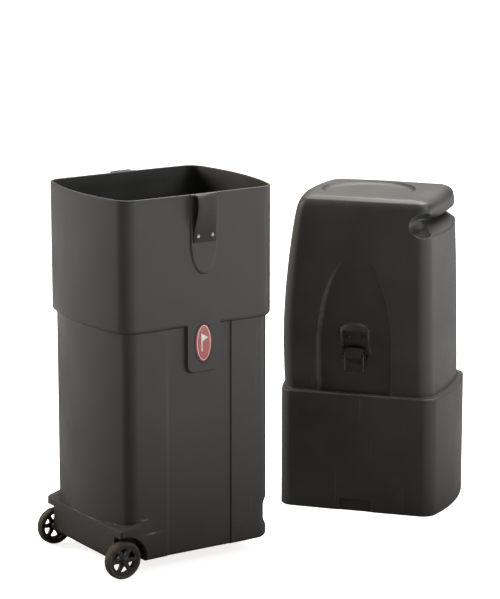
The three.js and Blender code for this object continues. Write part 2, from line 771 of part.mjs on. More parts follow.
baseGroup.add(
  mesh("base_shell", baseShell(), looks.shell),
  mesh("badge_rim", badgeRim(), looks.badgeBlack),
  mesh("badge_face", badgeFace(), looks.badgeRed),
  mesh("badge_mark", badgeMark(), looks.badgeWhite),
  mesh("base_foam_pad", padBlock(basePad), looks.foam),
  mesh("base_foot", padBlock(foot), looks.hub),
  mesh("axle", axleRod(), looks.steel),
);

const broadFaces = [
  ["front", -1, 0],
  ["back", 1, Math.PI],
];
for (const [side, sign, turn] of broadFaces) {
  const wheelGroup = new THREE.Group();
  wheelGroup.position.set(wheel.x, sign * wheel.y, wheel.radius);
  wheelGroup.add(
    mesh(`wheel_${side}_tyre`, tyre(), looks.tyre),
    mesh(`wheel_${side}_hub`, hub(sign), looks.hub),
  );
  baseGroup.add(wheelGroup);

  const axleEnd = new THREE.Group();
  axleEnd.position.set(wheel.x, 0, wheel.radius);
  axleEnd.rotation.z = turn + Math.PI;
  axleEnd.add(
    mesh(`axle_${side}_cap`, axleCap(), looks.hub),
    mesh(`axle_${side}_spacer`, axleSpacer(), looks.hub),
  );
  baseGroup.add(axleEnd);

  const strapGroup = new THREE.Group();
  strapGroup.position.x = latchX;
  strapGroup.rotation.z = turn;
  strapGroup.add(mesh(`strap_${side}_tail`, strapTail(), looks.webbing));
  strapGroup.add(mesh(`strap_${side}_loop`, strapLoop(), looks.webbing));
  baseGroup.add(strapGroup);

  const latchGroup = new THREE.Group();
  latchGroup.position.x = latchLidX;
  latchGroup.rotation.z = turn;
  latchGroup.add(
    mesh(`latch_${side}_plate`, latchPlate(), looks.blackSteel),
    mesh(`latch_${side}_backing`, backingPlate(), looks.steel),
    mesh(`latch_${side}_pin`, latchPin(), looks.steel),
    mesh(`latch_${side}_lever`, latchLever(), looks.hub),
    mesh(`latch_${side}_bail`, latchBail(), looks.blackSteel),
  );
  lidGroup.add(latchGroup);

  const ends = [["left", -1], ["right", 1]];
  for (const [end, s] of ends) {
    strapGroup.add(mesh(`strap_${side}_rivet_${end}`, strapRivet(s), looks.steel));
    strapGroup.add(mesh(`strap_${side}_washer_${end}`, strapWasher(s), looks.steel));
    latchGroup.add(mesh(`latch_${side}_rivet_${end}`, latchRivet(s), looks.steel));
  }
}

lidGroup.add(
  mesh("lid_shell", lidShell(), looks.shell),
  mesh("lid_foam_pad", padBlock(lidPad), looks.foam),
);

export default caseGroup;
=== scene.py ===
# Golf travel case: a tall wheeled base with strap loops, and the lid standing beside it with its latches.
# Lengths in the dictionaries are millimetres about the middle of the base or of the lid;
# the scene is in metres.
import json
import math

import bmesh
import bpy
import numpy as np
from mathutils import Matrix, Vector


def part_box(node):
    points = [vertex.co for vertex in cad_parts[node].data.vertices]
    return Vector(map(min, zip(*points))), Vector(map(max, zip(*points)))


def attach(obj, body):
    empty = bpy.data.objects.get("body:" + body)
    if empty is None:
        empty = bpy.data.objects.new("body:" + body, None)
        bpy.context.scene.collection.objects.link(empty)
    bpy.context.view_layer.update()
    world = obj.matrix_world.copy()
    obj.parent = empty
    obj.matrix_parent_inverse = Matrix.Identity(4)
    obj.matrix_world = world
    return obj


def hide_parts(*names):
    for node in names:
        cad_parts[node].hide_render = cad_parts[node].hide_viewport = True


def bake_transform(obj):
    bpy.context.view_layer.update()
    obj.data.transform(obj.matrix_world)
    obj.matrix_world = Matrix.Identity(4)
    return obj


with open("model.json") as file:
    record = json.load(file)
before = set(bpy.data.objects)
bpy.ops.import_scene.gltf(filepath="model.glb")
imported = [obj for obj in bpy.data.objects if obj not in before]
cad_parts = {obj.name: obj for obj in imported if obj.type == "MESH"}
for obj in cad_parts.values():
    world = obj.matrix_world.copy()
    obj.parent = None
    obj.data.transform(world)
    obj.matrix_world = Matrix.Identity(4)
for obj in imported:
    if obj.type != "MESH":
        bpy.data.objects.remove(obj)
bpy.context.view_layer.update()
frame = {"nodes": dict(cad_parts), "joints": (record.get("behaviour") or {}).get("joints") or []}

mm = 0.001


# Small tools

def linear(hexColour):  # sRGB hex to the linear colour that shaders take
    channels = [int(hexColour[i:i + 2], 16) / 255 for i in (1, 3, 5)]
    return (*[c / 12.92 if c <= 0.04045 else ((c + 0.055) / 1.055) ** 2.4 for c in channels], 1.0)


def ease(value, low, high):  # 0 below low, 1 above high, a soft S between them
    t = np.clip((value - low) / (high - low), 0.0, 1.0)
    return t * t * (3 - 2 * t)


def mixed(a, b, share):
    return a + (b - a) * share


def softMax(a, b, reach):  # the larger of two, with the corner between them rounded
    h = np.clip(0.5 + 0.5 * (a - b) / reach, 0.0, 1.0)
    return b + (a - b) * h + reach * h * (1 - h)


def softMin(a, b, reach):
    return -softMax(-a, -b, reach)


def spaced(*runs):  # runs of (from, to, spacing) joined into one rising list, without the very last value
    values = []
    for low, high, spacing in runs:
        count = max(1, round((high - low) / spacing))
        values += [low + (high - low) * i / count for i in range(count)]
    return np.array(values)


def curveThrough(knots, samples):  # a smooth path through the knots, as evenly spaced samples
    points = np.array(knots, float)
    padded = np.vstack([2 * points[0] - points[1], points, 2 * points[-1] - points[-2]])
    dense = []
    for i in range(1, len(padded) - 2):
        p0, p1, p2, p3 = padded[i - 1:i + 3]
        for t in np.linspace(0, 1, 16, endpoint=False):
            dense.append(0.5 * (2 * p1 + (p2 - p0) * t + (2 * p0 - 5 * p1 + 4 * p2 - p3) * t ** 2
                                + (3 * p1 - p0 - 3 * p2 + p3) * t ** 3))
    dense = np.array(dense + [points[-1]])
    run = np.concatenate([[0], np.cumsum(np.linalg.norm(np.diff(dense, axis=0), axis=1))])
    at = np.linspace(0, run[-1], samples)
    return np.column_stack([np.interp(at, run, dense[:, k]) for k in range(points.shape[1])])


def filleted(corners, radius, steps=5):  # a closed polygon with each corner rounded
    rounded = []
    count = len(corners)
    for i, corner in enumerate(corners):
        here = np.array(corner, float)
        before, after = np.array(corners[i - 1], float), np.array(corners[(i + 1) % count], float)
        reach = min(radius, 0.45 * np.linalg.norm(before - here), 0.45 * np.linalg.norm(after - here))
        a = here + (before - here) / np.linalg.norm(before - here) * reach
        b = here + (after - here) / np.linalg.norm(after - here) * reach
        for t in np.linspace(0, 1, steps):
            rounded.append((1 - t) ** 2 * a + 2 * t * (1 - t) * here + t ** 2 * b)
    return rounded


# Where the two halves stand, read from the frame

def middleOf(node):
    low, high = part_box(node)
    return (Vector(low) + Vector(high)) / 2


def jointNamed(name):
    return next(j for j in frame["joints"] if j["name"] == name)


baseMiddle = middleOf("base_shell")
lidMiddle = middleOf("lid_shell")
latchAxis = jointNamed("latch_front_lever_swing")["axis"]
basePlace = Matrix.Translation((baseMiddle.x, baseMiddle.y, 0))
lidPlace = Matrix.Translation((lidMiddle.x, lidMiddle.y, 0)) @ Matrix.Rotation(
    math.atan2(latchAxis[1], latchAxis[0]), 4, "Z")
halfTurn = Matrix.Rotation(math.pi, 4, "Z")


def sideTurn(side):  # pieces are drawn for the front, facing -Y, and turned round for the back
    return Matrix.Identity(4) if side == "front" else halfTurn


# Making pieces

def pieceFrom(name, points, faces, place, body, material, stands=(), slot=None, sharp=35, uv=None):
    mesh = bpy.data.meshes.new(name)
    placed = [place @ Vector(p) for p in (np.asarray(points, float) * mm).tolist()]
    mesh.from_pydata(placed, [], faces)
    if uv is not None:
        layer = mesh.uv_layers.new(name="weave")
        for loop in mesh.loops:
            layer.data[loop.index].uv = uv[loop.vertex_index]
    made = bpy.data.objects.new(name, mesh)
    bpy.context.scene.collection.objects.link(made)
    mesh.materials.append(material)
    cleanUp(mesh)
    mesh.shade_smooth()
    mesh.set_sharp_from_angle(angle=math.radians(sharp))
    if body:
        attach(made, body)
    if stands:
        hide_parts(*stands)
    return made


def cleanUp(mesh):  # merges doubled points and turns every face outward
    made = bmesh.new()
    made.from_mesh(mesh)
    bmesh.ops.remove_doubles(made, verts=made.verts, dist=1e-6)
    bmesh.ops.dissolve_degenerate(made, edges=made.edges, dist=1e-6)
    bmesh.ops.recalc_face_normals(made, faces=made.faces)
    made.to_mesh(mesh)
    made.free()


def gridFaces(rows, columns, closeRound=True):
    last = columns if closeRound else columns - 1
    return [(r * columns + i, r * columns + (i + 1) % columns,
             (r + 1) * columns + (i + 1) % columns, (r + 1) * columns + i)
            for r in range(rows - 1) for i in range(last)]


def skin(rings):  # one closed skin through a stack of rings, each end drawn to a point
    columns = len(rings[0])
    points = np.vstack(rings)
    faces = gridFaces(len(rings), columns)
    start, end = len(points), len(points) + 1
    points = np.vstack([points, rings[0].mean(axis=0), rings[-1].mean(axis=0)])
    top = (len(rings) - 1) * columns
    for i in range(columns):
        j = (i + 1) % columns
        faces.append((start, j, i))
        faces.append((end, top + i, top + j))
    return points, faces


def lathed(profile, steps, closed=True):  # (radius, along) pairs turned round the Y axis
    columns = len(profile)
    points = []
    for k in range(steps):
        a = 2 * math.pi * k / steps
        points += [(r * math.cos(a), y, r * math.sin(a)) for r, y in profile]
    faces = []
    last = columns if closed else columns - 1
    for k in range(steps):
        n = (k + 1) % steps
        for i in range(last):
            j = (i + 1) % columns
            faces.append((k * columns + i, k * columns + j, n * columns + j, n * columns + i))
    return points, faces


def wire(path, radius, sides=14):  # a round wire along a path, with rounded-off ends
    path = np.array(path, float)
    ahead = np.gradient(path, axis=0)
    ahead /= np.linalg.norm(ahead, axis=1)[:, None]
    side = np.cross(ahead[0], (0, 1, 0))
    rings = []
    for i, (point, along) in enumerate(zip(path, ahead)):
        side = side - along * side.dot(along)
        side /= np.linalg.norm(side)
        other = np.cross(along, side)
        turns = np.linspace(0, 2 * math.pi, sides, endpoint=False)
        ring = np.array([math.cos(a) * side + math.sin(a) * other for a in turns])
        if i == 0:
            rings += [point - along * radius * 0.3 + ring * radius * 0.6, point + ring * radius]
        elif i == len(path) - 1:
            rings += [point + ring * radius, point + along * radius * 0.3 + ring * radius * 0.6]
        else:
            rings.append(point + ring * radius)
    return skin(rings)


def gathered(*parts):  # several closed skins as one set of points and faces
    points, faces = [], []
    for partPoints, partFaces in parts:
        shift = len(points)
        points += [tuple(p) for p in partPoints]
        faces += [tuple(i + shift for i in face) for face in partFaces]
    return points, faces


def moved(part, offset):
    return [tuple(np.array(p) + offset) for p in part[0]], part[1]


# Materials

def addNode(tree, kind, links=None, **settings):
    node = tree.nodes.new(kind)
    for key, value in settings.items():
        setattr(node, key, value)
    for key, value in (links or {}).items():
        if isinstance(value, bpy.types.NodeSocket):
            tree.links.new(value, node.inputs[key])
        else:
            node.inputs[key].default_value = value
    return node


def finish(name, build):
    material = bpy.data.materials.new(name)
    material.use_nodes = True
    tree = material.node_tree
    tree.nodes.clear()
    shader = build(tree)
    addNode(tree, "ShaderNodeOutputMaterial", {"Surface": shader.outputs["BSDF"]})
    return material


def ramp(tree, source, low, high, lowValue=0.0, highValue=1.0):
    node = addNode(tree, "ShaderNodeMapRange", {
        "Value": source, "From Min": low, "From Max": high, "To Min": lowValue, "To Max": highValue})
    return node.outputs["Result"]


# Rotationally moulded polyethylene: the mould's fine blasted grain, a soft waxy gleam and rubbed paler edges
polyethylene = {
    "colour": "#2b2b2b", "paler": "#343332", "scuff": "#4d4a47", "dust": "#454340",
    "grain": 1.4,  # blasted grain in mm, drawn a little coarser than the real 0.6 so that it shows
    "orange": 14.0,  # slow swell of the moulded wall
    "roughLow": 0.44, "roughHigh": 0.58, "ior": 1.51, "shine": 0.5, "grainDepth": 0.06, "swellDepth": 0.25,
}


def buildPolyethylene(tree):
    p = polyethylene
    place = addNode(tree, "ShaderNodeTexCoord").outputs["Object"]
    grain = addNode(tree, "ShaderNodeTexNoise", {
        "Vector": place, "Scale": 1000 / p["grain"], "Detail": 3.0, "Roughness": 0.6})
    swell = addNode(tree, "ShaderNodeTexNoise", {
        "Vector": place, "Scale": 1000 / (p["orange"] * 3), "Detail": 1.5})
    cloud = addNode(tree, "ShaderNodeTexNoise", {
        "Vector": place, "Scale": 7.0, "Detail": 5.0, "Roughness": 0.62})
    streak = addNode(tree, "ShaderNodeMapping", {"Vector": place, "Scale": (160.0, 160.0, 9.0),
                                                 "Rotation": (0.35, 0.5, 0.2)})
    scratches = addNode(tree, "ShaderNodeTexNoise", {
        "Vector": streak.outputs["Vector"], "Scale": 1.0, "Detail": 2.0})
    scratchShare = ramp(tree, scratches.outputs["Fac"], 0.7, 0.76)
    patch = ramp(tree, cloud.outputs["Fac"], 0.42, 0.68)
    scratchHere = addNode(tree, "ShaderNodeMath", {0: scratchShare, 1: patch}, operation="MULTIPLY")
    edge = ramp(tree, addNode(tree, "ShaderNodeNewGeometry").outputs["Pointiness"], 0.515, 0.56)
    edgeHere = addNode(tree, "ShaderNodeMath", {0: edge, 1: 0.55}, operation="MULTIPLY")
    tint = addNode(tree, "ShaderNodeMix", {
        "Factor": patch, "A": linear(p["colour"]), "B": linear(p["paler"])}, data_type="RGBA")
    scuffed = addNode(tree, "ShaderNodeMix", {
        "Factor": scratchHere.outputs[0], "A": tint.outputs["Result"], "B": linear(p["scuff"])},
        data_type="RGBA")
    worn = addNode(tree, "ShaderNodeMix", {
        "Factor": edgeHere.outputs[0], "A": scuffed.outputs["Result"], "B": linear(p["dust"])},
        data_type="RGBA")
    height = addNode(tree, "ShaderNodeBump", {
        "Height": swell.outputs["Fac"], "Strength": p["swellDepth"], "Distance": 0.0012})
    relief = addNode(tree, "ShaderNodeBump", {
        "Height": grain.outputs["Fac"], "Strength": 1.0, "Distance": p["grainDepth"] * mm,
        "Normal": height.outputs["Normal"]})
    rough = ramp(tree, cloud.outputs["Fac"], 0.3, 0.7, p["roughLow"], p["roughHigh"])
    return addNode(tree, "ShaderNodeBsdfPrincipled", {
        "Base Color": worn.outputs["Result"], "Roughness": rough, "IOR": p["ior"],
        "Specular IOR Level": p["shine"], "Normal": relief.outputs["Normal"]})


# Woven nylon webbing: a ribbed plain weave with a dull sheen on the yarns, and a painted highlight that makes
# the colour paler on the weave's raised crests
webbing = {"colour": "#191817", "crestHighlight": "#2b2a28", "rib": 2.4, "pick": 1.7, "depth": 0.28, "rough": 0.78}


def buildWebbing(tree):
    w = webbing
    uv = addNode(tree, "ShaderNodeUVMap", uv_map="weave").outputs["UV"]
    parts = addNode(tree, "ShaderNodeSeparateXYZ", {"Vector": uv})
    waves = []
    for axis, spacing in (("X", w["rib"]), ("Y", w["pick"])):
        turns = addNode(tree, "ShaderNodeMath", {
            0: parts.outputs[axis], 1: 2 * math.pi / (spacing * mm)}, operation="MULTIPLY")
        waves.append(addNode(tree, "ShaderNodeMath", {0: turns.outputs[0]}, operation="SINE").outputs[0])
    crossed = addNode(tree, "ShaderNodeMath", {0: waves[0], 1: waves[1]}, operation="MULTIPLY")
    weave = ramp(tree, crossed.outputs[0], -1.0, 1.0)
    fuzz = addNode(tree, "ShaderNodeTexNoise", {
        "Vector": addNode(tree, "ShaderNodeTexCoord").outputs["Object"], "Scale": 420.0, "Detail": 4.0})
    # painted highlight: the colour turns paler where the weave stands highest, broken up by noise
    paintedCrestHighlight = addNode(tree, "ShaderNodeMath", {0: weave, 1: fuzz.outputs["Fac"]}, operation="MULTIPLY")
    colour = addNode(tree, "ShaderNodeMix", {
        "Factor": paintedCrestHighlight.outputs[0], "A": linear(w["colour"]), "B": linear(w["crestHighlight"])}, data_type="RGBA")
    relief = addNode(tree, "ShaderNodeBump", {
        "Height": weave, "Strength": 1.0, "Distance": w["depth"] * mm})
    return addNode(tree, "ShaderNodeBsdfPrincipled", {
        "Base Color": colour.outputs["Result"], "Roughness": w["rough"], "Sheen Weight": 0.25,
        "Sheen Roughness": 0.45, "IOR": 1.53, "Normal": relief.outputs["Normal"]})


def grained(look):  # a surface with one fine grain and slow colour drift, from its dictionary
    def build(tree):
        place = addNode(tree, "ShaderNodeTexCoord").outputs["Object"]
        fine = addNode(tree, "ShaderNodeTexNoise", {
            "Vector": place, "Scale": 1000 / look["grain"], "Detail": 4.0, "Roughness": 0.6})
        slow = addNode(tree, "ShaderNodeTexNoise", {
            "Vector": place, "Scale": 1000 / look["drift"], "Detail": 4.0})
        share = ramp(tree, slow.outputs["Fac"], 0.35, 0.7)
        colour = addNode(tree, "ShaderNodeMix", {
            "Factor": share, "A": linear(look["colour"]), "B": linear(look["other"])}, data_type="RGBA")
        rough = ramp(tree, slow.outputs["Fac"], 0.3, 0.7, look["rough"][0], look["rough"][1])
        relief = addNode(tree, "ShaderNodeBump", {
            "Height": fine.outputs["Fac"], "Strength": 1.0, "Distance": look["depth"] * mm})
        values = {"Base Color": colour.outputs["Result"], "Roughness": rough,
                  "Metallic": look.get("metallic", 0.0), "Normal": relief.outputs["Normal"]}
        if "ior" in look:
            values["IOR"] = look["ior"]
        if "coat" in look:
            values["Coat Weight"], values["Coat Roughness"] = look["coat"]
        return addNode(tree, "ShaderNodeBsdfPrincipled", values)
    return build


# Thermoplastic rubber tread: warm grey, dusty and dull from rolling on pavement
tyreRubber = {"colour": "#4b463f", "other": "#5d574d", "grain": 1.1, "drift": 16, "rough": (0.72, 0.88),
              "depth": 0.12, "ior": 1.52}
# Glass-filled nylon, injection moulded: darker than the shells, with a satin skin
mouldedNylon = {"colour": "#2b2a29", "other": "#383634", "grain": 0.8, "drift": 12, "rough": (0.42, 0.55),
                "depth": 0.03, "ior": 1.53}
# Nickel-plated steel, barrel polished: bright with a slightly cloudy plate
platedSteel = {"colour": "#a5a29d", "other": "#8e8b85", "grain": 0.5, "drift": 5, "rough": (0.26, 0.4),
               "depth": 0.008, "metallic": 1.0}
# Pressed steel under black stoving enamel: smooth, with highlights on its folded edges
stovedSteel = {"colour": "#1c1c1c", "other": "#262523", "grain": 0.7, "drift": 9, "rough": (0.28, 0.42),
               "depth": 0.01, "ior": 1.5, "coat": (0.35, 0.2)}
# Vitreous enamel in a die-struck badge: flat colour under a clear, hard gloss
enamelRed = {"colour": "#a51c1e", "other": "#93171a", "grain": 2.0, "drift": 20, "rough": (0.16, 0.24),
             "depth": 0.004, "ior": 1.52, "coat": (0.6, 0.08)}
enamelWhite = {"colour": "#e6e2dc", "other": "#d6d1c9", "grain": 2.0, "drift": 14, "rough": (0.18, 0.26),
               "depth": 0.004, "ior": 1.52, "coat": (0.5, 0.1)}
enamelBlack = {"colour": "#0d0d0d", "other": "#141313", "grain": 1.5, "drift": 14, "rough": (0.34, 0.46),
               "depth": 0.006, "ior": 1.52}
# Cross-linked polyethylene foam, sliced from a block: matt, with cut cells showing as pores
slicedFoam = {"colour": "#4c4e51", "other": "#5a5c5f", "grain": 2.2, "drift": 40, "rough": (0.88, 0.96),
              "depth": 0.35, "ior": 1.49}

shellPlastic = finish("rotomoulded polyethylene", buildPolyethylene)
strapWebbing = finish("woven nylon webbing", buildWebbing)
tyreFinish = finish("thermoplastic rubber tread", grained(tyreRubber))
nylonFinish = finish("injection moulded nylon", grained(mouldedNylon))
steelFinish = finish("nickel plated steel", grained(platedSteel))
blackSteelFinish = finish("stove enamelled steel", grained(stovedSteel))
redFinish = finish("vitreous enamel red", grained(enamelRed))
whiteFinish = finish("vitreous enamel white", grained(enamelWhite))
blackFinish = finish("vitreous enamel black", grained(enamelBlack))
foamFinish = finish("sliced polyethylene foam", grained(slicedFoam))
print("materials made")


# Rings: one turn round a rounded rectangle, starting on the front face and going to +X

class RingPlan:
    def __init__(self, across, turnLow, turnHigh, ends):
        self.across = across  # X of each column on the broad faces
        self.turnLow, self.turnHigh, self.ends = turnLow, turnHigh, ends
        self.broad = np.zeros(2 * (len(across) + turnLow + turnHigh + ends), bool)
        self.broad[:len(across)] = True
        back = len(across) + 2 * turnHigh + ends
        self.broad[back:back + len(across)] = True


def ringRound(plan, x0, x1, halfY, rLow, rHigh, bow=(0, 0), across=None):
    across = plan.across if across is None else across
    lowX, highX = x0 + rLow, x1 - rHigh

    def corner(cx, cy, r, start, steps):
        angles = np.radians(start + 90 * np.arange(steps) / steps)
        return np.column_stack([cx + r * np.cos(angles), cy + r * np.sin(angles)])

    def end(x, fromY, toY):
        t = np.arange(plan.ends) / plan.ends
        return np.column_stack([np.full(plan.ends, x), fromY + (toY - fromY) * t])

    front = np.column_stack([across, np.full(len(across), -halfY)])
    points = np.vstack([
        front,
        corner(highX, rHigh - halfY, rHigh, -90, plan.turnHigh),
        end(x1, rHigh - halfY, halfY - rHigh),
        corner(highX, halfY - rHigh, rHigh, 0, plan.turnHigh),
        (front * (1, -1))[::-1],
        corner(lowX, halfY - rLow, rLow, 90, plan.turnLow),
        end(x0, halfY - rLow, rLow - halfY),
        corner(lowX, rLow - halfY, rLow, 180, plan.turnLow),
    ])
    middle, half = (x0 + x1) / 2, (x1 - x0) / 2
    u, v = (points[:, 0] - middle) / half, points[:, 1] / halfY
    points[:, 0] += bow[0] * u * (1 - v * v)
    points[:, 1] += bow[1] * v * (1 - u * u)
    return points


def atHeight(ring, z):
    return np.column_stack([ring, np.full(len(ring), float(z))])


def setOut(ring, plan, depth):  # gives the broad faces a new distance from the middle, on both sides
    out = np.where(plan.broad, np.sign(ring[:, 1]) * depth, ring[:, 1])
    return np.column_stack([ring[:, 0], out])


# Base shell

base = {
    "height": 880, "bottom": 35, "halfX": 188.5, "halfY": 170.5, "corner": 24, "bow": (27, 3), "wall": 4.5,
    "floorEdge": 12, "collarFrom": 573, "collarFull": 584, "ledge": 582,
    "collarX": 198, "collarY": 176.5, "collarCorner": 28, "collarBow": (27, 2.4), "rim": 1.7,
}
panel = {"low": -88, "high": 84, "face": 169, "back": 164, "soft": 1.8, "softLow": 6}
skirt = {"x": -216, "y": 176, "corner": 7, "top": 115, "rise": 0.34, "endFrom": -166, "endTo": -128,
         "endLow": 60, "lowBelow": 100, "topSoft": 6}
grip = {"low": 60, "floorLow": 80, "floorHigh": 114, "high": 136, "depth": 7}
tongue = {"x": 6, "halfX": 44, "bottom": 465, "corner": 16, "face": 178.4, "soft": 2.0}
pad = {"x": 6, "halfX": 35.5, "bottom": 695, "round": 80, "face": 183, "soft": 2.2}
wheel = {"x": -204, "y": 160, "z": 44.5, "well": 55.5, "wellFrom": 142, "flare": 2.5}
housing = {"x": -139.5, "y": 137.5, "top": 106.8, "round": 9, "axleX": -190, "axleTop": 58.5}

basePlan = RingPlan(
    spaced((-163, -97, 6), (-97, -79, 2), (-79, -43, 5), (-43, -24, 1.7), (-24, 36, 2.5),
           (36, 55, 1.7), (55, 79, 5), (79, 89, 1.25), (89, 163, 8)), 18, 14, 30)


def tongueShare(x, z):  # 1 on the tongue that hangs from the collar, 0 off it
    r = tongue["corner"]
    dx = np.abs(x - tongue["x"]) - (tongue["halfX"] - r)
    dz = (tongue["bottom"] + r) - z
    outside = np.hypot(np.maximum(dx, 0), np.maximum(dz, 0)) + np.minimum(np.maximum(dx, dz), 0) - r
    return 1 - ease(outside, -tongue["soft"], tongue["soft"])


def padShare(x, z):  # 1 on the raised pad behind the strap, whose lower end is half an ellipse
    across = (x - pad["x"]) / pad["halfX"]
    down = max(0.0, pad["bottom"] + pad["round"] - z) / pad["round"]
    reach = np.hypot(across, down)
    slope = np.hypot(across / pad["halfX"], down / pad["round"]) + 1e-9
    outside = reach * (reach - 1) / slope
    return 1 - ease(outside, -pad["soft"], pad["soft"])


def panelShare(x):
    s, low = panel["soft"], panel["softLow"]
    rising = ease(x, panel["low"] - low, panel["low"] + low)
    return rising * (1 - ease(x, panel["high"] - s, panel["high"] + s))


def skirtShare(body, square, z):  # above its top the skirt is cut by a plane that rises away from its edge
    reach = max(0.0, z - skirt["top"]) / skirt["rise"] + skirt["x"]
    share = np.clip((body[:, 0] - reach) / np.maximum(body[:, 0] - square[:, 0], 1e-3), 0, 1)
    high = skirt["top"] + skirt["rise"] * (skirt["endFrom"] - skirt["x"])
    endTo = skirt["endTo"] + skirt["endLow"] * (z < skirt["lowBelow"])
    broadEnd = 1 - ease(body[:, 0], skirt["endFrom"], endTo)
    return share * broadEnd * (1 - ease(z, high, high + skirt["topSoft"]))


def baseOutside(z, inset=0.0):
    b = base
    rise = min(max((z - b["collarFrom"]) / (b["collarFull"] - b["collarFrom"]), 0.0), 1.0)
    lip = math.sqrt(1 - (1 - rise) ** 2)
    floorShare = ease(z, grip["low"], grip["floorLow"]) * (1 - ease(z, grip["floorHigh"], grip["high"]))
    dent = grip["depth"] * floorShare
    body = ringRound(basePlan, inset - b["halfX"], b["halfX"] - inset - dent, b["halfY"] - inset,
                     b["corner"] - inset, b["corner"] - inset, b["bow"])
    square = ringRound(basePlan, skirt["x"] + inset, b["halfX"] - inset - dent, skirt["y"] - inset,
                       skirt["corner"], b["corner"] - inset, (0, 0))
    ring = mixed(body, square, skirtShare(body, square, z)[:, None])
    collar = ringRound(basePlan, inset - b["collarX"], b["collarX"] - inset, b["collarY"] - inset,
                       b["collarCorner"] - inset, b["collarCorner"] - inset, b["collarBow"])
    x, out = ring[:, 0], np.abs(ring[:, 1])
    out = mixed(out, min(panel["face"], b["halfY"] - inset), panelShare(x))
    if z > tongue["bottom"] - 10:
        out = mixed(out, np.maximum(out, tongue["face"] - inset), tongueShare(x, z))
    ring = setOut(ring, basePlan, out)
    ring = mixed(ring, collar, lip)
    if z > pad["bottom"] - 10:
        out = np.abs(ring[:, 1])
        out = mixed(out, np.maximum(out, pad["face"] - inset), padShare(ring[:, 0], z))
        ring = setOut(ring, basePlan, out)
    return atHeight(ring, z)


def baseInside(z, inset=0.0):
    b = base
    thick = b["wall"] + inset
    if z > b["ledge"]:
        return atHeight(ringRound(basePlan, thick - b["collarX"], b["collarX"] - thick, b["collarY"] - thick,
                                  b["collarCorner"] - thick, b["collarCorner"] - thick, b["collarBow"]), z)
    low, high = grip["low"], grip["high"]
    dent = grip["depth"] * ease(z, low - 14, low) * (1 - ease(z, high, high + 14))
    ring = ringRound(basePlan, thick - b["halfX"], b["halfX"] - thick - dent, b["halfY"] - thick,
                     b["corner"] - thick, b["corner"] - thick, b["bow"])
    if z < housing["axleTop"]:
        ring[:, 0] = softMax(ring[:, 0], np.full(len(ring), float(housing["axleX"])), 2)
    if z < housing["top"]:
        ring = roundHousings(ring)
    back = ease(ring[:, 0], panel["low"] - b["wall"] - 2, panel["low"] - b["wall"] + 2)
    back *= 1 - ease(ring[:, 0], panel["high"] + b["wall"] - 2, panel["high"] + b["wall"] + 2)
    out = mixed(np.abs(ring[:, 1]), panel["back"] - inset, back)
    return atHeight(setOut(ring, basePlan, out), z)


def roundHousings(ring):  # leads the inside round the boxes over the two wheel wells
    lead = ring.copy()
    hx, hy, r = housing["x"], housing["y"], housing["round"]
    for sign in (-1, 1):
        inBox = (ring[:, 0] < hx) & (sign * ring[:, 1] > hy)
        half = len(ring) // 2
        along = (np.flatnonzero(np.roll(inBox, half)) - half) % len(ring)
        first, last = ring[along[0]], ring[along[-1]]
        wallX, wallY = (first, last) if sign > 0 else (last, first)
        path = [(hx, abs(wallX[1])), (hx, hy + r)]
        path += [(hx - r * (1 - math.cos(a)), hy + r * (1 - math.sin(a))) for a in np.linspace(0.2, 1.4, 6)]
        path += [(hx - r, hy), (wallY[0], hy)]
        path = np.array(path)
        run = np.concatenate([[0], np.cumsum(np.linalg.norm(np.diff(path, axis=0), axis=1))])
        outer = ring[along] if sign > 0 else ring[along][::-1]
        steps = np.concatenate([[0], np.cumsum(np.linalg.norm(np.diff(outer, axis=0), axis=1))])
        at = steps / steps[-1] * run[-1]
        track = np.column_stack([np.interp(at, run, path[:, 0]), np.interp(at, run, path[:, 1])])
        track[:, 1] *= sign
        lead[along] = track if sign > 0 else track[::-1]
    return lead


def baseRings():
    b = base
    heights = spaced((47, 111, 3.4), (111, 142, 1.1), (142, 160, 4), (160, 455, 33), (455, 492, 1.9),
                     (492, 570, 13), (570, 588, 1.1),
                     (588, 689, 16), (689, 783, 2.2), (783, 874, 13))
    edge = b["floorEdge"]
    foot = [baseOutside(b["bottom"] + edge * (1 - math.cos(a)), 9 * (1 - math.sin(a)))
            for a in np.linspace(0, math.pi / 2, 7)[:-1]]
    middle = np.array([0, 0, b["bottom"]])
    under = [middle + (foot[0] - middle) * share for share in (0.08, 0.35, 0.6, 0.8, 0.93)]
    outside = [baseOutside(z) for z in heights]
    top = b["height"]
    turns = np.linspace(0, math.pi / 2, 5)
    rimOut = [baseOutside(top - b["rim"] * (1 - math.sin(a)), b["rim"] * (1 - math.cos(a))) for a in turns]
    rimIn = [baseInside(top - b["rim"] * (1 - math.sin(a)), -b["rim"] * (1 - math.cos(a)))
             for a in turns[::-1]]
    inner = [850, 740, 640, 590, 584, 582.4, 581.6, 580, 560, 460, 360, 260, 180, 150, 143, 136, 110,
             107.4, 106.2, 102, 90, 76, 70, 64, 61, 59.2, 57.8, 55, 50]
    inside = [baseInside(z) for z in inner]
    floorTurns = [baseInside(39.5 + 6 * (1 - math.sin(a)), 6 * (1 - math.cos(a)))
                  for a in np.linspace(0.1, math.pi / 2, 5)]
    centre = np.array([0, 0, 39.5])
    floor = [centre + (floorTurns[-1] - centre) * share for share in (0.9, 0.7, 0.4, 0.1)]
    return under + foot + outside + rimOut + rimIn + inside + floorTurns + floor


def carve(target, cutters):  # cuts closed pieces away for good
    for cutter in cutters:
        change = target.modifiers.new("carve", "BOOLEAN")
        change.operation, change.solver, change.object = "DIFFERENCE", "EXACT", cutter
    shaped = bpy.data.meshes.new_from_object(target.evaluated_get(bpy.context.evaluated_depsgraph_get()))
    target.modifiers.clear()
    target.data = shaped
    cleanUp(shaped)
    shaped.shade_smooth()
    shaped.set_sharp_from_angle(angle=math.radians(32))
    for cutter in cutters:
        bpy.data.objects.remove(cutter)


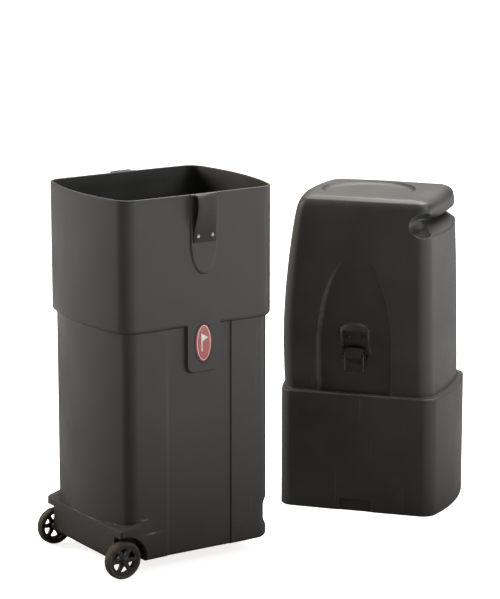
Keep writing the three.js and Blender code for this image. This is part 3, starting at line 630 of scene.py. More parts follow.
def looseSolid(part, place):  # a cutter, which is gone before the end
    points, faces = part
    mesh = bpy.data.meshes.new("cutter")
    mesh.from_pydata([place @ (Vector(p) * mm) for p in points], [], faces)
    cleanUp(mesh)
    made = bpy.data.objects.new("cutter", mesh)
    bpy.context.scene.collection.objects.link(made)
    return made


def wheelWells():
    r, flare, inner = wheel["well"], wheel["flare"], wheel["wellFrom"]
    profile = [(0.01, inner), (r - 3, inner), (r - 0.9, inner + 0.9), (r, inner + 3),
               (r, skirt["y"] - 2 * flare), (r + 0.3 * flare, skirt["y"] - flare),
               (r + flare, skirt["y"] + 0.1), (r + flare, 200), (0.01, 200)]
    well = moved(lathed(profile, 72), (wheel["x"], 0, wheel["z"]))
    slotX, slotTop, slotY = 8, wheel["z"] + 8, 133
    corners = filleted([(wheel["x"] - slotX, 0), (wheel["x"] + slotX, 0),
                        (wheel["x"] + slotX, slotTop), (wheel["x"] - slotX, slotTop)], 3)
    slot = skin([np.array([(x, y, z) for x, z in corners]) for y in (-slotY, slotY)])
    drill = lathed([(0.01, -190), (5.3, -190), (5.3, 190), (0.01, 190)], 24)
    bore = moved(drill, (wheel["x"], 0, wheel["z"]))
    return [looseSolid(well, basePlace), looseSolid(well, basePlace @ halfTurnAboutX()),
            looseSolid(slot, basePlace), looseSolid(bore, basePlace)]


def halfTurnAboutX():  # turns a well over to the other side
    lift = Matrix.Translation((0, 0, 2 * wheel["z"] * mm))
    return lift @ Matrix.Rotation(math.pi, 4, "X")


shellPoints, shellFaces = skin(baseRings())
baseShell = pieceFrom("base_moulding", shellPoints, shellFaces, basePlace, "base", shellPlastic,
                      ["base_shell"], "moulded_polyethylene")
carve(baseShell, wheelWells())
print("base shell", len(baseShell.data.polygons), "faces")


# Lid shell

lid = {
    "halfX": 192, "halfY": 168.5, "corner": 26, "bow": (26.5, 1.5), "bodyBow": (19, 2), "collarTop": 299,
    "wall": 4.5, "innerTop": 771, "lip": 5, "ledgeFillet": 3,
}
lidSections = np.array([  # height, X at the wheel end, X at the handle end, half depth, corner
    [299, -188, 180, 155, 28], [345, -191, 179, 157, 28], [440, -193, 177, 157, 28],
    [520, -190, 175.5, 156, 27], [600, -183.5, 173.5, 154.5, 26], [680, -174, 170.5, 152, 25],
    [740, -164.5, 168, 149, 23], [764, -158.5, 166, 146, 21], [778, -150, 160.5, 140, 19],
    [786, -135, 148.5, 129, 16]], float)
latchLine = -8
arch = {"halfX": 93, "spring": 425, "apex": 660, "face": 148, "back": 139.5, "power": 0.62, "soft": 5.2,
        "fadeFrom": 505, "fadeTo": 660}
bezel = {"halfX": 38, "low": 401, "full": 437, "shoulder": 461, "crown": 14, "proud": 12, "soft": 1.6}
pocket = {"halfX": 30, "low": 378, "high": 457, "face": 145, "soft": 0.9}
notch = {"x": 0, "halfX": 41, "top": 29, "corner": 6, "face": 166, "soft": 1.2}
handle = {"noseX": 143, "noseZ": 752, "noseR": 33, "slopeX": 182, "slopeZ": 699, "undercut": 4, "soft": 6,
          "lift": 24, "liftFrom": -40, "liftTo": 150}
scoop = {"x": 166, "y": -152, "z": 727, "rx": 40, "ry": 56, "rz": 31, "soft": 10}
dish = {"x": -17, "radius": 117, "depth": 8, "edge": 14, "crown": 1.4}

lidPlan = RingPlan(
    spaced((-163, -104, 6), (-104, -50, 2.7), (-50, -34, 1.4), (-34, 18, 4.5), (18, 44, 1.4),
           (44, 88, 2.7), (88, 112, 4), (112, 149, 2)), 14, 22, 30)


def sectionAt(z):  # the lid's section at a height, with slopes carried smoothly through each given one
    s = lidSections
    z = min(max(z, s[0, 0]), s[-1, 0])
    i = min(int(np.searchsorted(s[:, 0], z, side="right")) - 1, len(s) - 2)
    slopes = np.diff(s[:, 1:], axis=0) / np.diff(s[:, 0])[:, None]
    before = slopes[max(i - 1, 0)]
    after = slopes[min(i + 1, len(slopes) - 1)]
    here, span = slopes[i], s[i + 1, 0] - s[i, 0]
    m0 = np.where(before * here > 0, 2 * before * here / (before + here + 1e-12), 0)
    m1 = np.where(here * after > 0, 2 * here * after / (here + after + 1e-12), 0)
    t = (z - s[i, 0]) / span
    return ((2 * t ** 3 - 3 * t ** 2 + 1) * s[i, 1:] + (t ** 3 - 2 * t ** 2 + t) * span * m0
            + (3 * t ** 2 - 2 * t ** 3) * s[i + 1, 1:] + (t ** 3 - t ** 2) * span * m1)


def handleLimit():  # how far +X the lid reaches at each height: the slope, the hand groove and the nose
    h = handle
    z = np.arange(650, 800, 0.25)
    reach = np.full(len(z), 260.0)
    bottom = h["noseZ"] - h["noseR"]
    slope = (z >= h["slopeZ"]) & (z < bottom - 3)
    steepness = (h["slopeX"] - h["noseX"] + 4) / (bottom - 3 - h["slopeZ"])
    reach[slope] = h["slopeX"] - (z[slope] - h["slopeZ"]) * steepness
    reach[z < h["slopeZ"]] = h["slopeX"] + (h["slopeZ"] - z[z < h["slopeZ"]]) * 2.5
    reach[(z >= bottom - 3) & (z < bottom)] = h["noseX"] - h["undercut"]
    nose = z >= bottom
    reach[nose] = h["noseX"] + np.sqrt(np.maximum(h["noseR"] ** 2 - (z[nose] - h["noseZ"]) ** 2, 0))
    kernel = np.hanning(15)
    padded = np.pad(reach, 7, mode="edge")
    return z, np.convolve(padded, kernel / kernel.sum(), mode="valid")


reachHeights, reachValues = handleLimit()


def noseHeight(y, z):  # the nose grows thinner towards the front, so its underside is met higher up there
    h = handle
    low, under, top = h["slopeZ"] + 6, h["noseZ"] - h["noseR"], h["noseZ"] + h["noseR"]
    lift = h["lift"] * ease(-y, h["liftFrom"], h["liftTo"])
    above = under + (z - under - lift) * (top - under) / (top - under - lift)
    below = low + (z - low) * (under - low) / (under - low + lift)
    return np.where(z < low, z, np.where(z < under + lift, below, above))


def archShare(x, z, grow=0.0):
    a = arch
    t = min(max((z - a["spring"]) / (a["apex"] + grow - a["spring"]), 0.0), 1.0)
    half = (a["halfX"] + grow) * (1 - t * t) ** a["power"]
    lean = min((a["halfX"] + grow) * 2 * a["power"] * t * max(1 - t * t, 1e-3) ** (a["power"] - 1)
               / (a["apex"] - a["spring"]), 6.0)
    outside = (np.abs(x - latchLine) - half) / math.hypot(1, lean)
    return (1 - ease(outside, -a["soft"], a["soft"] * 0.4)) * float(z < a["apex"] + grow)


def bezelOut(x, z):  # how far the latch's arched frame stands out of the recess
    across = np.abs(x - latchLine)
    crown = bezel["shoulder"] + bezel["crown"] * (1 - np.clip(across / bezel["halfX"], 0, 1) ** 3)
    outside = np.maximum(across - bezel["halfX"], z - crown)
    height = bezel["proud"] * min(max((z - bezel["low"]) / (bezel["full"] - bezel["low"]), 0.0), 1.0)
    roll = 4 * ease(z - crown, -14, 0)
    return (height - roll * (height > 4)) * (1 - ease(outside, -bezel["soft"], bezel["soft"]))


def pocketShare(x, z):
    p = pocket
    across = np.abs(x - latchLine) - p["halfX"]
    outside = np.maximum(across, max(z - p["high"], p["low"] - z))
    return 1 - ease(outside, -p["soft"], p["soft"])


def notchShare(x, z):
    r = notch["corner"]
    dx = np.abs(x - notch["x"]) - (notch["halfX"] - r)
    dz = z - (notch["top"] - r)
    outside = np.hypot(np.maximum(dx, 0), np.maximum(dz, 0)) + np.minimum(np.maximum(dx, dz), 0) - r
    return 1 - ease(outside, -notch["soft"], notch["soft"])


def scooped(ring, z):  # pushes the front of the handle end back onto the scoop's hollow
    s = scoop
    x, y = ring[:, 0], ring[:, 1]
    reach = np.hypot((x - s["x"]) / s["rx"], (z - s["z"]) / s["rz"])
    inside = s["y"] + s["ry"] * np.sqrt(np.clip(1 - reach ** 2, 0, 1))
    hollow = np.where(reach < 1, inside, s["y"] - 150 * (reach - 1))
    return np.column_stack([x, np.where(y < 0, softMax(y, hollow, s["soft"]), y)])


def lidRow(z, inset=0.0):
    x0, x1, halfY, r = sectionAt(z)
    x0, x1, halfY, r = x0 + inset, x1 - inset, halfY - inset, max(r - inset, 12)
    across = lidPlan.across
    low, high = max(across[0], x0 + r), min(across[-1], x1 - r)
    across = low + (across - across[0]) * (high - low) / (across[-1] - across[0])
    return ringRound(lidPlan, x0, x1, halfY, r, r, lid["bodyBow"], across)


def lidOutside(z, inset=0.0):
    ring = lidRow(z, inset)
    reach = np.interp(noseHeight(ring[:, 1], z), reachHeights, reachValues)
    ring[:, 0] = softMin(ring[:, 0], reach, handle["soft"])
    out = np.abs(ring[:, 1])
    x = ring[:, 0]
    recess = archShare(x, z) * (1 - ease(z, arch["fadeFrom"], arch["fadeTo"]))
    faceOut = arch["face"] + bezelOut(x, z)
    out = mixed(out, np.minimum(out + 6, faceOut), recess)
    out = mixed(out, pocket["face"], pocketShare(x, z))
    ring = setOut(ring, lidPlan, out)
    if z > 680:
        ring = scooped(ring, z)
    return atHeight(ring, z)


def lidCollar(z, inset=0.0):
    ring = ringRound(lidPlan, inset - lid["halfX"], lid["halfX"] - inset, lid["halfY"] - inset,
                     lid["corner"] - inset, lid["corner"] - inset, lid["bow"])
    out = np.abs(ring[:, 1])
    out = mixed(out, np.minimum(out, notch["face"]), notchShare(ring[:, 0], z))
    return atHeight(setOut(ring, lidPlan, out), z)


def lidInside(z):
    wall = lid["wall"]
    if z < lid["collarTop"] - wall:
        return atHeight(ringRound(lidPlan, wall - lid["halfX"], lid["halfX"] - wall, lid["halfY"] - wall,
                                  lid["corner"] - wall, lid["corner"] - wall, lid["bow"]), z)
    ring = lidRow(min(z, 752), wall + 12 * ease(z, 752, lid["innerTop"]))
    if z > 688:
        ring[:, 0] = softMin(ring[:, 0], np.full(len(ring), handle["noseX"] - 30.0), 4)
    out = np.abs(ring[:, 1])
    out = mixed(out, np.minimum(out, arch["back"]), archShare(ring[:, 0], z, wall))
    return atHeight(setOut(ring, lidPlan, out), z)


def lidTop():  # from the last ring inwards: a gentle crown, then the round dish
    top = lidOutside(lidSections[-1, 0])
    centre = np.array([dish["x"], 0.0])
    aim = top[:, :2] - centre
    aim /= np.linalg.norm(aim, axis=1)[:, None]
    height = lidSections[-1, 0]
    circle = centre + aim * (dish["radius"] + 5)
    rings = []
    for share in (0.12, 0.3, 0.5, 0.75):
        rise = dish["crown"] * (1 - (1 - share) ** 3)
        rings.append(atHeight(mixed(top[:, :2], circle, share), height + rise))
    for radius in (120, 118, 117, 116.2, 115.4, 114.4, 113, 111.5, 109.5, 107, 104.5, 102, 96, 80,
                   60, 40, 20, 5):
        fall = min(max((dish["radius"] - radius) / dish["edge"], 0.0), 1.0)
        drop = dish["depth"] * (1 - (1 - fall) ** 2)
        rings.append(atHeight(centre + aim * radius, height + dish["crown"] - drop))
    return rings


def lidRings():
    top = lid["collarTop"]
    heights = spaced((304, 398, 5), (398, 482, 1.7), (482, 664, 3.4), (664, 694, 5), (694, 730, 1.1),
                     (730, 772, 1.8), (772, 786, 0.9))
    innerHeights = [760, 750, 735, 700, 690, 687, 684, 670, 640, 600, 520, 440, 360, 300, 296, 295,
                    294.2, 290, 200, 100, 40, 2]
    innerTop = lidInside(lid["innerTop"])
    centre = np.array([-20, 0, lid["innerTop"]])
    ceiling = [centre + (innerTop - centre) * share for share in (0.1, 0.4, 0.7, 0.9, 1)]
    inside = [lidInside(z) for z in innerHeights]
    rim = [lidCollar(0, 3.3), lidCollar(0, 1.5), lidCollar(0.5, 0.5), lidCollar(2, 0)]
    collar = [lidCollar(z) for z in spaced((4, 20, 4), (20, 35, 1.3), (35, 288, 32))]
    turns = np.linspace(0, math.pi / 2, 7)
    lip = [lidCollar(top - lid["lip"] * (1 - math.sin(a)), lid["lip"] * (1 - math.cos(a)) * 0.7)
           for a in turns]
    fillet = lid["ledgeFillet"]
    ledge = [lidOutside(top + fillet * (1 - math.cos(a)), -fillet * (1 - math.sin(a))) for a in turns[:-1]]
    outside = [lidOutside(z) for z in heights]
    return ceiling + inside + rim + collar + lip + ledge + outside + lidTop()


shellPoints, shellFaces = skin(lidRings())
lidShell = pieceFrom("lid_moulding", shellPoints, shellFaces, lidPlace, "lid", shellPlastic,
                     ["lid_shell"], "moulded_polyethylene")
print("lid shell", len(lidShell.data.polygons), "faces")


# Straps: one length of webbing each, doubled at the rivets and left as a loop above them

strap = {"x": 6, "halfX": 29, "thick": 1.8, "face": 183.3, "low": 769, "bulgeLeft": 19, "bulgeRight": 5,
         "pivot": 797, "blend": 12}
strapKnots = [  # out from the pad and height; the third value is how much of the bulge that point takes
    (0.9, 769, 0), (0.9, 800, 0), (0.9, 840, 0), (0.9, 866, 0), (1.2, 874.5, 0.03), (2.3, 879.6, 0.2),
    (3.2, 880.9, 0.55), (3.6, 875, 0.9), (3.2, 862, 1.0), (3.0, 846, 0.94), (2.9, 826, 0.66),
    (2.75, 808, 0.3), (2.75, 795, 0.07), (2.75, 784, 0), (2.75, 769, 0)]


def strapPiece(side):
    along = curveThrough(strapKnots, 72)
    run = np.concatenate([[0], np.cumsum(np.linalg.norm(np.diff(along[:, :2], axis=0), axis=1))])
    across = np.linspace(-1, 1, 13)
    bulge = mixed(strap["bulgeLeft"], strap["bulgeRight"], (across + 1) / 2)
    sheet = np.zeros((len(along), len(across), 3))
    sheet[:, :, 0] = across * strap["halfX"]
    sheet[:, :, 1] = -(strap["face"] + along[:, 0:1] + along[:, 2:3] * bulge[None, :])
    sheet[:, :, 2] = along[:, 1:2] + 0.6 * np.sin(across * 2.2)[None, :] * along[:, 2:3]
    alongWay = np.gradient(sheet, axis=0)
    acrossWay = np.gradient(sheet, axis=1)
    facing = np.cross(alongWay, acrossWay)
    facing /= np.linalg.norm(facing, axis=2)[:, :, None]
    half = strap["thick"] / 2
    edge = [0.45, 0.86] + [1.0] * (len(across) - 4) + [0.86, 0.45]  # the woven edges are thinner
    upper = sheet + facing * half * np.array(edge)[None, :, None]
    lower = sheet - facing * half * np.array(edge)[None, :, None]
    loops = np.concatenate([upper, lower[:, ::-1]], axis=1)
    columns = loops.shape[1]
    points, faces = skin([loops[i] for i in range(len(loops))])
    width = np.concatenate([across, across[::-1]]) * strap["halfX"] * mm
    uv = [(width[i % columns], run[i // columns] * mm) for i in range(len(loops) * columns)]
    uv += [(0, 0), (0, run[-1] * mm)]
    place = basePlace @ Matrix.Translation((strap["x"] * mm, 0, 0)) @ sideTurn(side)
    made = pieceFrom("strap_" + side + "_webbing", points, faces, place, None, strapWebbing,
                     ["strap_" + side + "_tail", "strap_" + side + "_loop"], "webbing", 50, uv)
    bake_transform(made)
    return made


# Rivets and washers

rivet = {"x": 19, "strapZ": 784, "latchZ": 441, "head": 4.6, "dome": 2.2, "shank": 2.4, "tail": 4.2}


def rivetPart(headY, tailY):  # a domed head, the shank and its set tail, along Y
    r = rivet
    dome = [(r["head"] * math.sin(a), headY - 0.3 - r["dome"] * math.cos(a) ** 0.8)
            for a in np.linspace(0.02, math.pi / 2, 8)]
    profile = dome + [(r["head"], headY - 0.3), (r["shank"], headY - 0.3), (r["shank"], tailY + 0.3),
                      (r["tail"], tailY + 0.3), (r["tail"] - 0.3, tailY + 1.1), (1.2, tailY + 1.3),
                      (0.05, tailY + 1.3)]
    return lathed(profile, 28)


def strapRivets(side):
    turn = basePlace @ Matrix.Translation((strap["x"] * mm, 0, 0)) @ sideTurn(side)
    inner = -(base["collarY"] + base["collarBow"][1] - base["wall"])
    for name, sign in (("left", -1), ("right", 1)):
        at = (sign * rivet["x"], 0, rivet["strapZ"])
        head = -strap["face"] - 2 * strap["thick"]
        node = "strap_" + side + "_rivet_" + name
        points, faces = moved(rivetPart(head, inner + 1.3), at)
        pieceFrom(node + "_plated", points, faces, turn, "base", steelFinish, [node], "bright_steel")
        washer = [(2.8, inner + 0.3), (6.7, inner + 0.3), (7, inner + 0.6), (7, inner + 1.1),
                  (6.7, inner + 1.3), (2.8, inner + 1.3)]
        points, faces = moved(lathed(washer, 32), at)
        node = "strap_" + side + "_washer_" + name
        pieceFrom(node + "_plated", points, faces, turn, "base", steelFinish, [node], "bright_steel")


for side in ("front", "back"):
    strapPiece(side)
    strapRivets(side)
print("straps and rivets made")


# Badge: a rim, a domed enamel field, a thin white ring and a plain pennant

badge = {"x": 6, "z": 533, "halfX": 25.5, "halfZ": 48.5, "back": 176.8, "rim": 4.2, "depth": 2.6,
         "ringInset": 7.4, "ringWidth": 1.7}


def ovalPart(profile, closed, steps=96):  # (inset, out) pairs carried round the oval
    points, faces = [], []
    count = len(profile)
    for k in range(steps):
        a = 2 * math.pi * k / steps
        for inset, out in profile:
            points.append((badge["x"] + (badge["halfX"] - inset) * math.cos(a), -badge["back"] - out,
                           badge["z"] + (badge["halfZ"] - inset) * math.sin(a)))
    for k in range(steps):
        n = (k + 1) % steps
        for i in range(count if closed else count - 1):
            j = (i + 1) % count
            faces.append((k * count + i, k * count + j, n * count + j, n * count + i))
    if not closed:
        faces.append(tuple(k * count for k in range(steps)))
        faces.append(tuple(k * count + count - 1 for k in reversed(range(steps))))
    return points, faces


rimTop = badge["depth"]
rimProfile = [(0.3, 0.2), (0.3, rimTop - 0.9), (0.7, rimTop - 0.3), (1.5, rimTop),
              (badge["rim"] - 1.2, rimTop), (badge["rim"] - 0.4, rimTop - 0.4),
              (badge["rim"], rimTop - 1.0), (badge["rim"], 0.2)]
fieldEdge = badge["rim"] + 0.35
fieldProfile = [(fieldEdge, 1.3), (fieldEdge, 1.75), (fieldEdge + 0.5, 1.95), (fieldEdge + 5, 2.1),
                (fieldEdge + 12, 2.2), (badge["halfX"] - 1.5, 2.25)]
ringIn, ringOut = badge["ringInset"] + badge["ringWidth"], badge["ringInset"]
whiteProfile = [(ringOut, 1.9), (ringOut + 0.2, 2.35), (ringIn - 0.2, 2.4), (ringIn, 1.9)]
pieceFrom("badge_rim_enamel", *ovalPart(rimProfile, True), basePlace, "base", blackFinish,
          ["badge_rim"], "badge_black")
pieceFrom("badge_field_enamel", *ovalPart(fieldProfile, False), basePlace, "base", redFinish,
          ["badge_face"], "badge_red")
pieceFrom("badge_inner_ring", *ovalPart(whiteProfile, True), basePlace, "base", whiteFinish, [],
          "badge_white")


# Wheels

tyre = {"rim": 36, "radius": 44.5, "half": 11}
hub = {"rim": 35.7, "band": 4, "web": 2.5, "webThick": 6, "boss": 9.5, "spokes": 6, "bore": 5.3, "edge": 0.7}


def tyrePart():
    r, R, side = tyre["rim"], tyre["radius"], tyre["half"]
    half = [(r, side - 1.5), (r + 0.4, side - 0.9), (37.6, side - 0.4), (39.2, side - 0.1), (40.6, side),
            (41.6, side - 0.8), (42.8, side - 2.2), (43.6, side - 3.6), (R - 0.35, side - 5.2),
            (R, side - 6.6), (R, 1.1), (R - 0.5, 0.7)]
    other = [(radius, -y) for radius, y in reversed(half)]
    return lathed(half + other, 112)


def spokeHole(angle):
    def at(r, degrees):
        a = angle + math.radians(degrees)
        return r * math.cos(a), r * math.sin(a)
    outer = [at(29.5, d) for d in (-17, -8.5, 0, 8.5, 17)]
    corners = [at(12.5, -7), at(25.8, -22)] + outer + [at(25.8, 22), at(12.5, 7)]
    return filleted(corners, 3.2, 4)


def webPart(outward):  # the spoked disc, its openings cut from one flat outline with rounded edges
    curve = bpy.data.curves.new("web", "CURVE")
    curve.dimensions, curve.fill_mode = "2D", "BOTH"
    curve.bevel_depth, curve.bevel_resolution = hub["edge"], 2
    curve.extrude = hub["webThick"] / 2 - hub["edge"]
    rim = [((hub["rim"] - 2.5) * math.cos(a), (hub["rim"] - 2.5) * math.sin(a))
           for a in np.linspace(0, 2 * math.pi, 72, endpoint=False)]
    for outline in [rim] + [spokeHole(2 * math.pi * (i + 0.5) / hub["spokes"]) for i in range(hub["spokes"])]:
        line = curve.splines.new("POLY")
        line.points.add(len(outline) - 1)
        line.use_cyclic_u = True
        for point, (x, y) in zip(line.points, outline):
            point.co = (x, y, 0, 1)
    flat = bpy.data.objects.new("web", curve)
    bpy.context.scene.collection.objects.link(flat)
    mesh = bpy.data.meshes.new_from_object(flat.evaluated_get(bpy.context.evaluated_depsgraph_get()))
    offset = outward * (hub["web"] + hub["webThick"] / 2)
    points = [(v.co.x, offset + v.co.z, v.co.y) for v in mesh.vertices]
    faces = [tuple(p.vertices) for p in mesh.polygons]
    bpy.data.objects.remove(flat)
    return points, faces


def hubPart(outward):
    R, half = hub["rim"], 9.5
    band = [(R - hub["band"], -half + 0.6), (R - hub["band"] + 0.6, -half), (R - 0.6, -half),
            (R, -half + 0.6), (R, half - 0.6), (R - 0.6, half), (R - hub["band"] + 0.6, half),
            (R - hub["band"], half - 0.6)]
    length = 11
    boss = [(hub["bore"], -length), (hub["boss"] - 0.6, -length), (hub["boss"], -length + 0.6),
            (hub["boss"], length - 0.6), (hub["boss"] - 0.6, length), (hub["bore"], length)]
    collar = outward * hub["web"]
    skirtRing = [(hub["boss"], collar), (13, collar), (12.4, collar + outward * 7.4),
                 (hub["boss"], collar + outward * 8)]
    return gathered(lathed(band, 72), lathed(boss, 40), lathed(skirtRing, 40), webPart(outward))


def capPart(sign):  # the push-on cap over the axle's end
    inner, outer = 171.3, 176.5
    profile = [(5.3, inner), (8.2, inner), (8.5, inner + 0.4), (8.5, outer - 1.8), (7.9, outer - 0.8),
               (6.4, outer - 0.1), (4.4, outer), (3.4, outer - 0.5), (0.05, outer - 0.6),
               (0.05, 174.4), (5.3, 174.4)]
    return lathed([(r, sign * y) for r, y in profile], 36)


def spacerPart(sign):
    low, high = 142.3, 148.7
    profile = [(5.4, low), (8.7, low), (9, low + 0.3), (9, high - 0.3), (8.7, high), (5.4, high)]
    return lathed([(r, sign * y) for r, y in profile], 36)


for side, sign in (("front", -1), ("back", 1)):
    middle = (wheel["x"], sign * wheel["y"], wheel["z"])
    body = "wheel_" + side
    pieceFrom(body + "_tread", *moved(tyrePart(), middle), basePlace, body, tyreFinish, [body + "_tyre"],
              "tyre_rubber")
    pieceFrom(body + "_centre", *moved(hubPart(sign), middle), basePlace, body, nylonFinish, [body + "_hub"],
              "black_nylon", 30)
    line = (wheel["x"], 0, wheel["z"])
    pieceFrom("axle_" + side + "_end", *moved(capPart(sign), line), basePlace, "base", nylonFinish,
              ["axle_" + side + "_cap"], "black_nylon")
    pieceFrom("axle_" + side + "_tube", *moved(spacerPart(sign), line), basePlace, "base", nylonFinish,
              ["axle_" + side + "_spacer"], "black_nylon")
axleProfile = [(0.05, -174), (4.4, -174), (5, -173.4), (5, 173.4), (4.4, 174), (0.05, 174)]
pieceFrom("axle_rod", *moved(lathed(axleProfile, 32), (wheel["x"], 0, wheel["z"])), basePlace, "base",
          steelFinish, ["axle"], "bright_steel")
print("wheels made")


# Latches: the wire bails and rivets are made here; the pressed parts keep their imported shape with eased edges

bail = {"y": -162, "top": 402, "low": 357, "legX": 23.4, "prong": 3.4, "wire": 1.9, "bend": 4.5}


def bailPart():
    x, top, low = bail["legX"], bail["top"], bail["low"]
    corners = [(-bail["prong"], low), (-x, low), (-x, top), (x, top), (x, low), (bail["prong"], low)]
    path = [corners[0]]
    for i in range(1, 5):
        here = np.array(corners[i], float)
        before, after = np.array(corners[i - 1], float), np.array(corners[i + 1], float)
        a = here + (before - here) / np.linalg.norm(before - here) * bail["bend"]
        b = here + (after - here) / np.linalg.norm(after - here) * bail["bend"]
        path += [tuple((1 - t) ** 2 * a + 2 * t * (1 - t) * here + t * t * b) for t in np.linspace(0, 1, 7)]
    path.append(corners[-1])
    points = [(px, bail["y"], pz) for px, pz in path]
    return wire(points, bail["wire"])


def easedNode(name, material, width, segments=2):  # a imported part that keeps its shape, with softened edges
    node = frame["nodes"][name]
    node.data.materials.clear()
    node.data.materials.append(material)
    soften = node.modifiers.new("edges", "BEVEL")
    soften.width, soften.segments, soften.limit_method = width * mm, segments, "ANGLE"
    soften.angle_limit = math.radians(30)
    soften.harden_normals = False
    return node


for side in ("front", "back"):
    turn = lidPlace @ Matrix.Translation((latchLine * mm, 0, 0)) @ sideTurn(side)
    points, faces = bailPart()
    pieceFrom("latch_" + side + "_wire", points, faces, turn, "latch_" + side + "_bail", blackSteelFinish,
              ["latch_" + side + "_bail"], "black_steel")
    for name, sign in (("left", -1), ("right", 1)):
        points, faces = moved(rivetPart(-147.3, -138), (sign * rivet["x"], 0, rivet["latchZ"]))
        node = "latch_" + side + "_rivet_" + name
        pieceFrom(node + "_stoved", points, faces, turn, "lid", blackSteelFinish, [node], "black_steel")
    easedNode("latch_" + side + "_plate", blackSteelFinish, 0.45)
    easedNode("latch_" + side + "_lever", blackSteelFinish, 0.5)
    easedNode("latch_" + side + "_backing", steelFinish, 0.3)
    easedNode("latch_" + side + "_pin", blackSteelFinish, 0.4)
easedNode("badge_mark", whiteFinish, 0.15)
easedNode("base_foot", nylonFinish, 2.5, 3)
print("latches made")


# Foam pads: a slab on the floor of the base and one under the lid's roof, crowned a little

foamSlabs = {
    "base_foam_pad": {"x0": -126, "x1": 188, "halfY": 148, "low": 40.5, "high": 64, "corner": 48,
                      "crown": 1.2},
    "lid_foam_pad": {"x0": -135, "x1": 105, "halfY": 112, "low": 742, "high": 770, "corner": 40,
                     "crown": -1.0},
}
foamPlan = RingPlan(spaced((-60, 120, 12)), 12, 12, 14)


def foamPart(slab):
    low, high, edge = slab["low"], slab["high"], 5
    x0, x1, halfY = slab["x0"], slab["x1"], slab["halfY"]
    middle = (x0 + x1) / 2
    across = middle + (foamPlan.across - 30) * (x1 - x0 - 2 * slab["corner"]) / 190

    def ring(z, inset):
        r = slab["corner"] - inset
        return atHeight(ringRound(foamPlan, x0 + inset, x1 - inset, halfY - inset, r, r, (0, 0), across), z)

    turns = np.linspace(0, math.pi / 2, 5)
    rise = [ring(low + edge * (1 - math.cos(a)), edge * (1 - math.sin(a))) for a in turns]
    fall = [ring(high - edge * (1 - math.sin(a)), edge * (1 - math.cos(a))) for a in turns]
    centre = np.array([middle, 0, 0])
    flat = np.array([1, 1, 0])

    def shrunk(from_, share, z):
        out = from_ * flat
        return centre + (out - centre) * share + np.array([0, 0, z])

    shares = (0.92, 0.78, 0.6, 0.4, 0.2, 0.05)
    crown = slab["crown"]
    top = [shrunk(fall[-1], s, high + max(crown, 0) * (1 - s * s)) for s in shares]
    under = [shrunk(rise[0], s, low + min(crown, 0) * (1 - s * s)) for s in reversed(shares)]
    return skin(under + rise + fall + top)


for node, place, body in (("base_foam_pad", basePlace, "base"), ("lid_foam_pad", lidPlace, "lid")):
    slab = pieceFrom(node + "_slab", *foamPart(foamSlabs[node]), place, body, foamFinish, [node], "foam", 60)
print("foam made")


# Floor, light and camera

studio = {
    "floor": "#eeeeec", "sky": "#ffffff", "skyPower": 0.055, "bounce": "#858583",
    "nearGlow": 0.85, "farGlow": 1.0, "nearReach": 1.2, "farReach": 4.0,
    "axis": (0.545, -0.839, 0), "lit": "#fffefc", "litFrom": 0.35, "litTo": 3.2,
    "frontPower": 2.3, "backPower": 1.0,
}
lights = [  # name, from, at, size in metres, watts, colour
    ("right", (2.6, -3.8, 3.2), (0.1, 0.0, 0.6), 2.0, 85, "#ffffff"),
    ("left", (-3.4, 3.1, 2.6), (-0.2, 0.0, 0.6), 1.8, 150, "#fff0de"),
    ("top", (1.3, 0.7, 4.0), (0.2, 0.0, 0.6), 4.2, 430, "#fffaf4"),
]


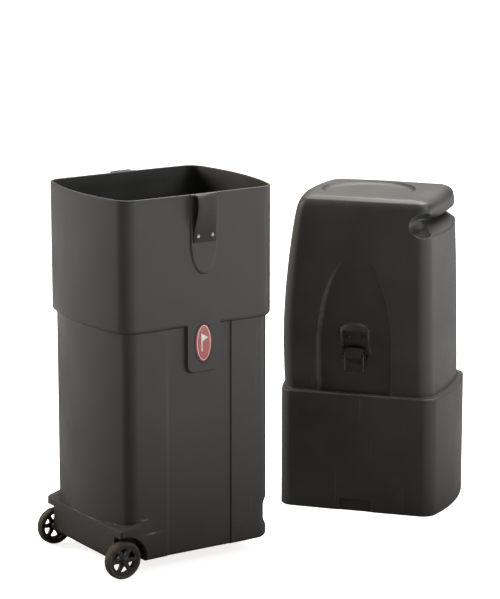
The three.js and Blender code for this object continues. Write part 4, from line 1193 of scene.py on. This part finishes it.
# To the eye the floor glows an even white. To reflected and bounced light it is a different floor, bright
# along the studio's axis in front of the case and behind it and dark at the sides.
def buildFloor(tree):
    place = addNode(tree, "ShaderNodeTexCoord").outputs["Object"]
    slow = addNode(tree, "ShaderNodeTexNoise", {"Vector": place, "Scale": 0.8, "Detail": 2.0})
    paint = addNode(tree, "ShaderNodeMix", {
        "Factor": slow.outputs["Fac"], "A": linear(studio["floor"]), "B": linear("#f2f2f1")},
        data_type="RGBA")
    seen = addNode(tree, "ShaderNodeLightPath").outputs["Is Camera Ray"]
    colour = addNode(tree, "ShaderNodeMix", {
        "Factor": seen, "A": linear(studio["bounce"]), "B": paint.outputs["Result"]}, data_type="RGBA")
    reach = addNode(tree, "ShaderNodeVectorMath", {0: place}, operation="LENGTH").outputs["Value"]
    glow = ramp(tree, reach, studio["nearReach"], studio["farReach"], studio["nearGlow"], studio["farGlow"])
    along = addNode(tree, "ShaderNodeVectorMath", {0: place, 1: studio["axis"]}, operation="DOT_PRODUCT")
    near, far = studio["litFrom"], studio["litTo"]
    front = ramp(tree, along.outputs["Value"], near, far, 0.0, studio["frontPower"])
    back = ramp(tree, along.outputs["Value"], -near, -far, 0.0, studio["backPower"])
    lit = addNode(tree, "ShaderNodeMath", {0: front, 1: back}, operation="ADD").outputs[0]
    strength = addNode(tree, "ShaderNodeMix", {"Factor": seen, "A": lit, "B": glow})
    return addNode(tree, "ShaderNodeBsdfPrincipled", {
        "Base Color": colour.outputs["Result"], "Roughness": 0.9, "Emission Color": linear(studio["lit"]),
        "Emission Strength": strength.outputs["Result"]})


floorHalf = 30
floorMesh = bpy.data.meshes.new("floor")
floorMesh.from_pydata([(-floorHalf, -floorHalf, 0), (floorHalf, -floorHalf, 0), (floorHalf, floorHalf, 0),
                       (-floorHalf, floorHalf, 0)], [], [(0, 1, 2, 3)])
floor = bpy.data.objects.new("floor", floorMesh)
bpy.context.scene.collection.objects.link(floor)
floorMesh.materials.append(finish("matt painted floor", buildFloor))

world = bpy.data.worlds.new("studio")
world.use_nodes = True
backdrop = world.node_tree.nodes["Background"]
backdrop.inputs["Color"].default_value = linear(studio["sky"])
backdrop.inputs["Strength"].default_value = studio["skyPower"]
bpy.context.scene.world = world
bpy.context.scene.view_settings.view_transform = "Standard"

for name, start, target, size, watts, colour in lights:
    lamp = bpy.data.lights.new(name, "AREA")
    lamp.shape, lamp.size, lamp.energy = "SQUARE", size, watts
    lamp.color = linear(colour)[:3]
    holder = bpy.data.objects.new(name, lamp)
    holder.location = start
    holder.rotation_mode = "QUATERNION"
    holder.rotation_quaternion = (Vector(target) - Vector(start)).to_track_quat("-Z", "Y")
    bpy.context.scene.collection.objects.link(holder)

view = {"from": (-3.4048, -5.1462, 1.9000), "at": (-0.0875, -0.0676, 0.5722), "lens": 156.0}
camera = bpy.data.objects.new("camera", bpy.data.cameras.new("camera"))
camera.data.lens, camera.data.sensor_width = view["lens"], 36
camera.location = view["from"]
camera.rotation_mode = "QUATERNION"
camera.rotation_quaternion = (Vector(view["at"]) - Vector(view["from"])).to_track_quat("-Z", "Y")
bpy.context.scene.collection.objects.link(camera)
bpy.context.scene.camera = camera
print("studio ready")
